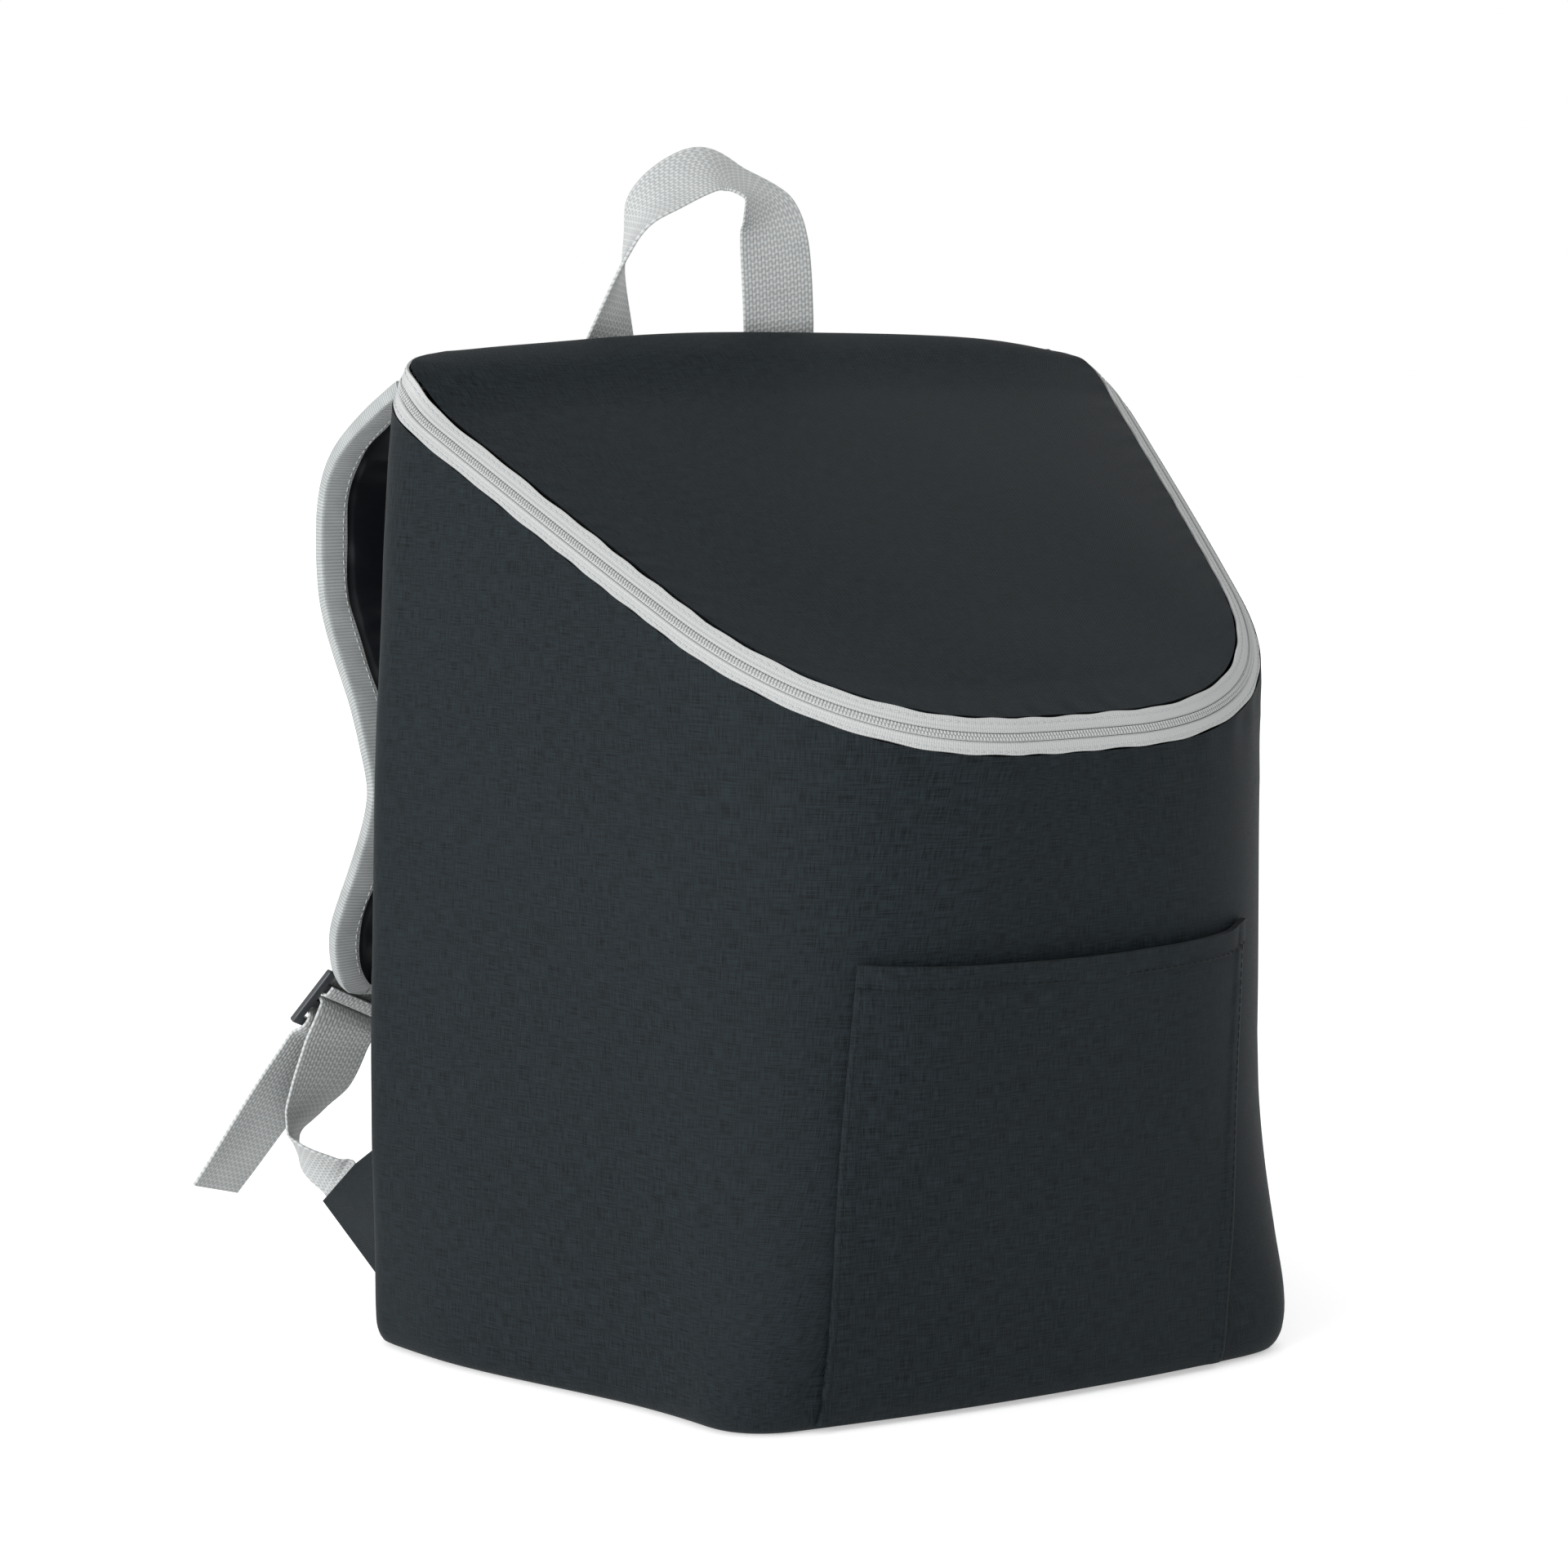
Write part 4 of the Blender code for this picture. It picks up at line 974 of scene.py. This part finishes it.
def strap_path(stations, per_span):
    rows = np.column_stack([np.arange(len(stations)), stations])
    keys = np.linspace(0, len(stations) - 1, (len(stations) - 1) * per_span + 1)
    _, x, y, z, turn, rise = eased(rows, keys)
    return framed(np.stack([x, y, z], -1), width_direction(turn, rise))


def finer(frames, step=1.2):
    """The same run with a station every step millimetres."""
    middles, widths, _ = frames
    length = run_length(middles)
    marks = np.linspace(0, length[-1], int(length[-1] / step) + 2)
    number = np.arange(len(middles))
    fine = eased(np.column_stack([number, middles, widths]), np.interp(marks, length, number))
    return framed(np.stack(fine[1:4], -1), np.stack(fine[4:7], -1))


# %% Webbing profile
WEBBING_WIDTH, WEBBING, WEBBING_COLUMNS, SELVEDGE = 30.0, 1.4, 20, 0.5


def webbing_profile():
    """Round-edged flat profile with a shallow rib for each column of the weave."""
    half, skin = WEBBING_WIDTH / 2, WEBBING / 2
    x = np.linspace(-half + SELVEDGE, half - SELVEDGE, WEBBING_COLUMNS * 2 + 1)
    ribs = skin - 0.1 + 0.1 * (np.arange(len(x)) % 2)
    turn = np.radians([120, 150, 180, 210, 240])
    edge = half - SELVEDGE - SELVEDGE * np.cos(turn)
    left, right = ([side * edge, -side * skin * 0.8 * np.sin(turn)] for side in (-1, 1))
    return np.concatenate([np.stack(part, -1) for part in ([x[::-1], ribs[::-1]], left, [x, -ribs], right)])


def webbing_piece(name, frames, seed):
    middles, across, normal = finer(frames)
    profile = webbing_profile()
    running = np.linspace(0, len(middles) * 1.2, len(middles))
    curl = 0.35 * np.sin(running / 17 + seed) + 0.2 * np.sin(running / 6.1 + 2 * seed)
    from_end = smooth_step(np.minimum(running, running[::-1]) / 12)
    lift = curl[:, None] * (profile[:, 0] / WEBBING_WIDTH * 2) ** 2 * from_end[:, None]
    return sweep(name, middles, across, normal, profile, webbing, normal[:, None] * lift[..., None] * 0.5)


HAUL_FRAMES = strap_path(HAUL_LOOP, 6)
dress(webbing_piece("haul_loop_webbing", HAUL_FRAMES, 1), "haul_loop")

# %% [markdown]
# ## Padded straps
# A shoulder strap is a strip of foam between two layers of cloth, with a tape folded over both raw edges.
# Sewing squeezes the foam flat under the tape and leaves it full in the middle. The soft wrinkles across
# the underside come where the strap bends, because the inner cloth has too much length there.

# %% Rows of the pad
PAD_HALF, PAD_THICK, PAD_TAPER, BINDING, BINDING_DEPTH = 25.0, 5.0, 30.0, 1.1, 10.5
PAD_FRAMES = strap_path(PAD, 2)


def pad_rows():
    middles, across, normal = finer(PAD_FRAMES, 1.6)
    distance = run_length(middles[::-1])[::-1]
    share = np.clip(1 - distance / PAD_TAPER, 0, 1)
    half = PAD_HALF * (0.48 + 0.52 * np.sqrt(1 - share ** 2))
    padding = np.clip((distance - 11.5) / 8, 0, 1)
    return middles, across, normal, half, padding, distance


def bend_of(middles):
    """How sharply a run bends, smoothed, as a share of its sharpest bend."""
    run = unit(np.gradient(middles, axis=0))
    turn = np.linalg.norm(np.gradient(run, axis=0), axis=1)
    bend = np.convolve(turn, np.ones(9) / 9, mode="same")
    return np.clip(bend / bend.max(), 0, 1)


def strap_pad():
    middles, across, normal, half, padding, distance = pad_rows()
    edge = half - BINDING - GAP
    thin = PAD_THICK / 2 - BINDING
    thick = PAD_THICK / 2 - BINDING * (1 - padding)
    bend = bend_of(middles)
    inner_x = np.linspace(-1, 1, 23)
    dome = np.concatenate([[0], (1 - inner_x ** 2) ** 0.35, [0]])
    rings = []
    for i, place in enumerate(distance):
        x = np.concatenate([[-edge[i]], inner_x * (edge[i] - BINDING_DEPTH), [edge[i]]])
        crease = (0.9 * np.sin(place / 2.7 + 1.2 * x / 14 + 1.5 * np.sin(place / 17))
                  + 0.6 * np.sin(place / 1.6 - x / 9 + 2))
        height = thin + (thick[i] - thin) * dome
        soft = dome * padding[i]
        fold = np.sin(place / 4.6 + 0.5 * x / 12 + 1.3 * np.sin(place / 23)) - 0.35
        ripple = 0.3 * np.sin(place / 21 + 1) + (0.08 + 0.2 * bend[i]) * crease
        high = height + soft * (ripple + 1.1 * np.maximum(fold, 0))
        low = height + soft * 0.3 * np.sin(place / 16 + x / 11)
        top = middles[i] + across[i] * x[:, None] + normal[i] * high[:, None]
        under = middles[i] + across[i] * x[::-1, None] - normal[i] * low[::-1, None]
        rings.append(np.concatenate([top, under]))
    rings = np.array(rings)
    at, faces = ring_faces(*rings.shape[:2])
    for ring in (at[0].tolist(), at[-1].tolist()):
        faces += [(ring[k], ring[k + 1], ring[-2 - k], ring[-1 - k]) for k in range(len(dome) - 1)]
    sideways = np.linspace(-1, 1, len(dome)) * 22
    uv = spread(np.concatenate([sideways, sideways[::-1]]), distance).reshape(-1, 2)
    piece = make_piece("strap_pad_cloth_left", rings.reshape(-1, 3), faces, uv, strap_satin)
    return face_outward(piece, mixed=True)


def mirrored(piece, name):
    """The right-hand copy of a left-hand piece."""
    mesh = piece.data.copy()
    mesh.name = name
    coordinates = np.empty(len(mesh.vertices) * 3)
    mesh.vertices.foreach_get("co", coordinates)
    coordinates[::3] *= -1
    mesh.vertices.foreach_set("co", coordinates)
    mesh.flip_normals()
    return add_object(name, mesh)


def dress_pair(piece, node=None):
    """Dress a left-hand piece and its mirrored copy."""
    pair = [piece, mirrored(piece, piece.name.replace("left", "right"))]
    for made, side in zip(pair, ("left", "right")):
        dress(made, node and f"{node}_{side}")
    return pair


for pad in dress_pair(strap_pad(), "strap_pad"):
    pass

# %% [markdown]
# ## Binding
# The binding is one tape that runs down one edge of the strap, round its end and up the other edge. In
# section it is a U that grips the pad. Each rib of the tape crosses it, so the material's rows follow its
# length.

# %% Fold the binding over the edge
BINDING_IN = np.linspace(BINDING_DEPTH, 0.6, 9)


def strap_binding():
    middles, across, normal, half, _, _ = pad_rows()
    left, right = ([(m + a * h * side, -a * side, n) for m, a, n, h in zip(middles, across, normal, half)]
                   for side in (-1, 1))
    down = unit(middles[-1] - middles[-2])
    end = [(middles[-1] + across[-1] * half[-1] * share + down * BINDING * 1.5, -down, normal[-1])
           for share in (-0.5, -0.25, 0, 0.25, 0.5)]
    path = left + end + right[::-1]
    running = run_length([edge for edge, _, _ in path])
    slot_half, outer_half = PAD_THICK / 2 - BINDING + GAP, PAD_THICK / 2
    bulge = np.sin(np.pi * BINDING_IN / BINDING_DEPTH)
    hem = 0.15 * (BINDING_IN > BINDING_DEPTH - 0.3)
    bow = np.radians([60, 30, 0, -30, -60])
    rings = []
    for (edge, inward, out), place in zip(path, running):
        waver = 0.3 * math.sin(place / 4.3 + 2 * math.sin(place / 31)) + 0.2 * math.sin(place / 9.7)
        puff = 0.12 * math.sin(place / 3.3 + math.sin(place / 11))
        lean = waver * (BINDING_IN / BINDING_DEPTH) ** 2
        stand = outer_half + (puff * bulge + 0.15 * bulge - hem)
        section = np.array([(BINDING, -slot_half), (BINDING, slot_half), (BINDING_DEPTH, slot_half),
                            *zip(BINDING_IN + lean, stand),
                            *zip(0.6 - 0.6 * np.cos(bow), outer_half * np.sin(bow)),
                            *zip((BINDING_IN - lean)[::-1], -stand[::-1]), (BINDING_DEPTH, -slot_half)])
        rings.append(edge + inward * section[:, :1] + out * section[:, 1:])
    around = np.concatenate([[0, 0, 0], BINDING_DEPTH - BINDING_IN,
                             BINDING_DEPTH + 2.5 - np.degrees(bow) / 24,
                             BINDING_DEPTH + 5 + BINDING_IN[::-1], [BINDING_DEPTH * 2 + 5]])
    return tube("strap_binding_tape_left", np.array(rings), spread(around, running), binding_cloth)


dress_pair(strap_binding(), "strap_binding")

# %% [markdown]
# ## Ladder locks, tabs and adjusters
# Below the pad a short webbing tab holds a ladder lock, a plastic frame with three bars. The adjuster
# webbing comes up from the bag's lower corner, goes over the middle bar, under the lowest one and hangs
# free.

# %% The lock and what goes through it
LOCK_TOP, LOCK_ACROSS = np.array([-136.3, 151.5, 118.8]), width_direction(15, -25)
lock_run = np.array([-0.485, 0.376, -0.789])
LOCK_DOWN = unit(lock_run - LOCK_ACROSS * lock_run.dot(LOCK_ACROSS))
LOCK_OUT = np.cross(LOCK_ACROSS, LOCK_DOWN)
LOCK_RAILS = (-19.0, -15.6, 15.6, 19.0)
LOCK_BARS = (0.0, 5.2, 7.8, 12.6, 15.4, 20.6, 24.0)
LOCK_HALF_THICK, LOCK_ROUNDING = 1.3, 0.55


def lock_place(run, out, across=0.0):
    return LOCK_TOP + LOCK_DOWN * run + LOCK_OUT * out + LOCK_ACROSS * across


def ladder_lock():
    """A plate of cells between the bars' and the rails' edges, open where neither a bar nor a rail is."""
    vertices, faces, index = [], [], {}

    def solid(bar, rail):
        return 0 <= bar < 6 and 0 <= rail < 3 and (rail != 1 or bar in (1, 3, 5))

    def at(i, j, layer):
        if (i, j, layer) not in index:
            index[i, j, layer] = len(vertices)
            vertices.append(lock_place(LOCK_BARS[i], LOCK_HALF_THICK * layer, LOCK_RAILS[j]))
        return index[i, j, layer]

    for i, j in (cell for cell in np.ndindex(6, 3) if solid(*cell)):
        faces.append((at(i, j + 1, 1), at(i + 1, j + 1, 1), at(i + 1, j, 1), at(i, j, 1)))
        faces.append((at(i, j, -1), at(i + 1, j, -1), at(i + 1, j + 1, -1), at(i, j + 1, -1)))
        sides = (((i, j), (i + 1, j), (i, j - 1)), ((i + 1, j), (i + 1, j + 1), (i + 1, j)),
                 ((i + 1, j + 1), (i, j + 1), (i, j + 1)), ((i, j + 1), (i, j), (i - 1, j)))
        for first, second, beside in sides:
            if not solid(*beside):
                faces.append((at(*first, 1), at(*second, 1), at(*second, -1), at(*first, -1)))
    uvs = np.array(vertices)[:, :2]
    piece = make_piece("ladder_lock_frame_left", vertices, faces, uvs, lock_plastic, smooth=False)
    face_outward(piece)
    bevel = piece.modifiers.new("rounded", "BEVEL")
    bevel.width, bevel.segments, bevel.limit_method = LOCK_ROUNDING * MM, 3, "ANGLE"
    rounded = bpy.data.meshes.new_from_object(piece.evaluated_get(bpy.context.evaluated_depsgraph_get()))
    piece.modifiers.clear()
    piece.data = rounded
    rounded.name = piece.name
    rounded.shade_smooth()
    rounded.set_sharp_from_angle(angle=math.radians(40))
    return piece


dress_pair(ladder_lock(), "ladder_lock")

# %% Tabs and adjusters
# places along the lock and out from it
TAB_LOOP = (
    (-3.5, 2.6), (2.5, 2.8), (5.0, 2.6), (8.1, 2.45), (9.2, 1.3), (9.2, -0.9), (8.2, -2.5), (4.6, -2.6))
ADJUSTER_TURN = (
    (16.0, -5.2), (12.2, -3.4), (11.0, -1.4), (11.0, 0.6), (11.7, 2.0), (13.1, 2.5), (15.0, 2.5), (17.0, 1.9),
    (18.1, 0.4), (18.3, -1.0), (19.6, -2.3), (22.0, -2.75), (24.4, -2.3))
TAB_SHIFT, TAB_STATIONS = -4.4, slice(-7, -3)
TAB_UPPER, TAB_LOWER = np.array([-145.2, 141.5, 54.1]), np.array([-146.3, 167.4, 35.2])
SEWN_IN = np.array([[0.4, 2.5, 3.5]])


def through_lock(places):
    """Middles and widths of webbing that passes the lock at the given places."""
    return np.array([lock_place(*pair) for pair in places]), np.repeat(LOCK_ACROSS[None], len(places), axis=0)


def tab_frames():
    middles, across, normal = (part[TAB_STATIONS] for part in PAD_FRAMES)
    stand = PAD_THICK / 2 + WEBBING / 2 + GAP + 0.3
    loop, widths = through_lock(TAB_LOOP)
    start = middles + across * TAB_SHIFT - normal * stand
    return framed(np.concatenate([start, loop]), np.concatenate([across, widths]))


def adjuster_frames():
    lower, tail = strap_path(LOWER_WEBBING, 3), strap_path(TAIL, 2)
    turn, turn_widths = through_lock(ADJUSTER_TURN)
    tab_edge = unit(TAB_LOWER - TAB_UPPER)[None]
    middles = np.concatenate([lower[0][:1] - SEWN_IN, lower[0], turn, tail[0]])
    return framed(middles, np.concatenate([tab_edge, tab_edge, lower[1][1:], turn_widths, tail[1]]))


tab = webbing_piece("strap_tab_webbing_left", tab_frames(), 2)
dress_pair(tab, "strap_tab")
adjuster = webbing_piece("adjuster_webbing_long_left", adjuster_frames(), 3)
dress_pair(adjuster, "adjuster_webbing")

# %% Corner tabs
SEAM_X, SEAM_TOP, SEAM_FOOT = -146.0, 78.0, 6.0


def corner_tab():
    top, foot = (np.array([SEAM_X, BACK_Y + GAP, height]) for height in (SEAM_TOP, SEAM_FOOT))
    v = np.linspace(0, 1, 24)[:, None, None]
    u = np.linspace(0, 1, 22)[None, :, None]
    middle = (foot * (1 - u) + TAB_LOWER * u) * (1 - v) + (top * (1 - u) + TAB_UPPER * u) * v
    fold = 0.35 * np.sin(v * 9 + u * 3) * np.sin(np.pi * u) * np.sin(np.pi * v)
    aside = np.array([1.0, 0.0, 0.0])
    uv = np.stack(np.broadcast_arrays(u[..., 0] * 60, v[..., 0] * 50), -1)
    outer, inner = middle + aside * (1 + fold), middle - aside * (1 - fold)
    return face_outward(panel("corner_tab_cloth_left", outer, inner, uv, shell_cloth))


dress_pair(corner_tab(), "corner_tab")

# %% Zip slider and its pull
# lowest and highest level, shift up the zip, half its height, half its width
SLIDER_BLOCKS = ((1.1, 3.6, 0.0, 4.0, 4.6), (3.5, 5.0, -1.0, 2.0, 2.2))


def zip_slider():
    up, out, side = TAPE_ACROSS[-1], TAPE_OUT[-1], np.array([1.0, 0, 0])
    seat = ZIP_POINT[-1] + up * 6.4 + side * 7.0
    shape = bmesh.new()
    for low, high, shift, tall, wide in SLIDER_BLOCKS:
        corners = [shape.verts.new((seat + up * (shift + a * tall) + side * b * wide + out * level) * MM)
                   for level in (low, high) for a, b in ((-1, -1), (1, -1), (1, 1), (-1, 1))]
        shape.faces.new(corners[3::-1])
        shape.faces.new(corners[4:])
        for k in range(4):
            shape.faces.new((corners[k], corners[(k + 1) % 4], corners[4 + (k + 1) % 4], corners[4 + k]))
    bmesh.ops.recalc_face_normals(shape, faces=shape.faces)
    bmesh.ops.bevel(shape, geom=shape.edges[:], offset=0.45 * MM, segments=2, affect="EDGES")
    mesh = bpy.data.meshes.new("zip_slider_body")
    shape.to_mesh(mesh)
    shape.free()
    mesh.materials.append(lock_plastic)
    mesh.shade_smooth()
    return add_object("zip_slider_body", mesh)


dress(zip_slider(), "zip_slider")

# %% [markdown]
# ## Stitches
# Sewing thread holds everything together and is what the eye looks for. The same row tree sets a stitch
# every three millimetres along the pocket's hem and sides, beside both zip tapes, along the bindings, and
# in the boxes that hold the haul loop and the tabs.

# %% Rows of stitches
ZIP_STITCHES = ((1.5, 0.12), (11.2, 0.12))


def pocket_line(z, s, lift):
    place, normal, stand, _ = pocket_layers(z, s)
    return place + normal * (stand + POCKET_CLOTH + lift)[..., None], normal


def pocket_stitches():
    s = np.linspace(-0.985, 0.985, 160)
    z = np.linspace(POCKET_FOOT + 1, POCKET_TOP - 0.5, 120)
    lines = [pocket_line(np.full(160, POCKET_TOP - POCKET_HEM + 0.6), s, 0.95)]
    for side in (-1, 1):
        lines.append(pocket_line(z, side * (1 - 1.6 / pocket_half(z, side)), 0.45))
    return row_along("pocket_stitches", lines, black_thread, 3.1, 2.5, 0.5, 0.42)


def binding_stitches():
    middles, across, normal, half, _, distance = pad_rows()
    keep = distance > 9
    lines = []
    for side, face in ((-1, -1), (-1, 1), (1, -1), (1, 1)):
        line = middles + across * (side * (half - BINDING_DEPTH + 1.3))[:, None]
        lines.append((line[keep] + normal[keep] * face * (PAD_THICK / 2 + 0.1), normal[keep] * face))
    return row_along("binding_stitches_left", lines, grey_thread, 3.0, 2.4, 0.45, 0.4)


dress(pocket_stitches())
zip_lines = [zip_line(*place) for place in ZIP_STITCHES]
dress(row_along("zip_stitches", zip_lines, grey_thread, 2.9, 2.3, 0.45, 0.36))
dress_pair(binding_stitches())

# %% Sewn boxes on the webbing
BOX_HALF, BOX_FROM = 11.0, 3
# places across and along a box: its outline and one diagonal in a single line, then the other diagonal
BOX_LINES = (((-1, 0), (1, 0), (1, 1), (-1, 1), (-1, 0), (1, 1)), ((1, 0), (-1, 1)))


def sewn_box(frames, far, face):
    """Lines of a box with a cross inside it, on one face of a strap."""
    middles, across, normal = frames
    length = run_length(middles)
    lines = []
    for corners in BOX_LINES:
        steps = np.linspace(0, len(corners) - 1, 12 * len(corners) - 11)
        aside, share = (np.interp(steps, range(len(corners)), row) for row in zip(*corners))
        along = BOX_FROM + (far - BOX_FROM) * share
        place, width, facing = (np.stack([np.interp(along, length, part[:, k]) for k in range(3)], -1)
                                for part in (middles, across, normal * face))
        lines.append((place + width * (BOX_HALF * aside)[:, None] + facing * (WEBBING / 2 + 0.05), facing))
    return lines


haul_lines = sewn_box(HAUL_FRAMES, 21, 1) + sewn_box([part[::-1] for part in HAUL_FRAMES], 21, -1)
dress(row_along("haul_loop_stitches", haul_lines, grey_thread, 3.0, 2.4, 0.5, 0.4))
tab_lines = sewn_box(tab_frames(), 19, -1)
dress_pair(row_along("tab_stitches_left", tab_lines, grey_thread, 3.0, 2.4, 0.5, 0.4))

# %% [markdown]
# ## Light as in the photograph
# The bag was photographed on white, with broad soft light all round it. The surroundings and a pale floor
# give that light and leave only a thin shadow under the base. One large lamp at the left brightens the wall
# on that side, and two weak ones draw soft light along the front and the edges behind.

# %% Floor, light and background
FLOOR_HALF, FLOOR_DROP = 6, 0.0004


def area_light(name, place, aim, size, watts):
    light = add_object(name, bpy.data.lights.new(name, "AREA"))
    light.data.shape, light.data.size, light.data.energy = "DISK", size, watts
    light.location = place
    light.rotation_euler = (Vector(aim) - Vector(place)).to_track_quat("-Z", "Y").to_euler()
    return light


white = Paint("white_floor", (0.8, 0.8, 0.8), 0.9, 0.1, emission_strength=0.42)
white.shader.inputs["Emission Color"].default_value = (1.0, 1.0, 1.0, 1.0)
floor_mesh = bpy.data.meshes.new("floor")
floor_corners = [(x * FLOOR_HALF, y * FLOOR_HALF, -FLOOR_DROP)
                 for x, y in ((-1, -1), (1, -1), (1, 1), (-1, 1))]
floor_mesh.from_pydata(floor_corners, [], [(0, 1, 2, 3)])
floor_mesh.materials.append(white.material)
add_object("floor", floor_mesh)

lights = [area_light("key", (-2.5, -0.8, 0.65), (0, 0, 0.2), 1.6, 70),
          area_light("fill", (-0.4, -3.0, 2.4), (0, 0, 0.2), 2.0, 1),
          area_light("rim", (1.4, 1.9, 1.7), (0, 0.1, 0.2), 1.6, 1.5)]

world = bpy.data.worlds.new("white_studio")
world.use_nodes = True
world.node_tree.nodes["Background"].inputs["Color"].default_value = (1.0, 1.0, 1.0, 1.0)
world.node_tree.nodes["Background"].inputs["Strength"].default_value = 1.0
bpy.context.scene.world = world
bpy.context.scene.view_settings.view_transform = "Standard"
print("lights:", len(lights))
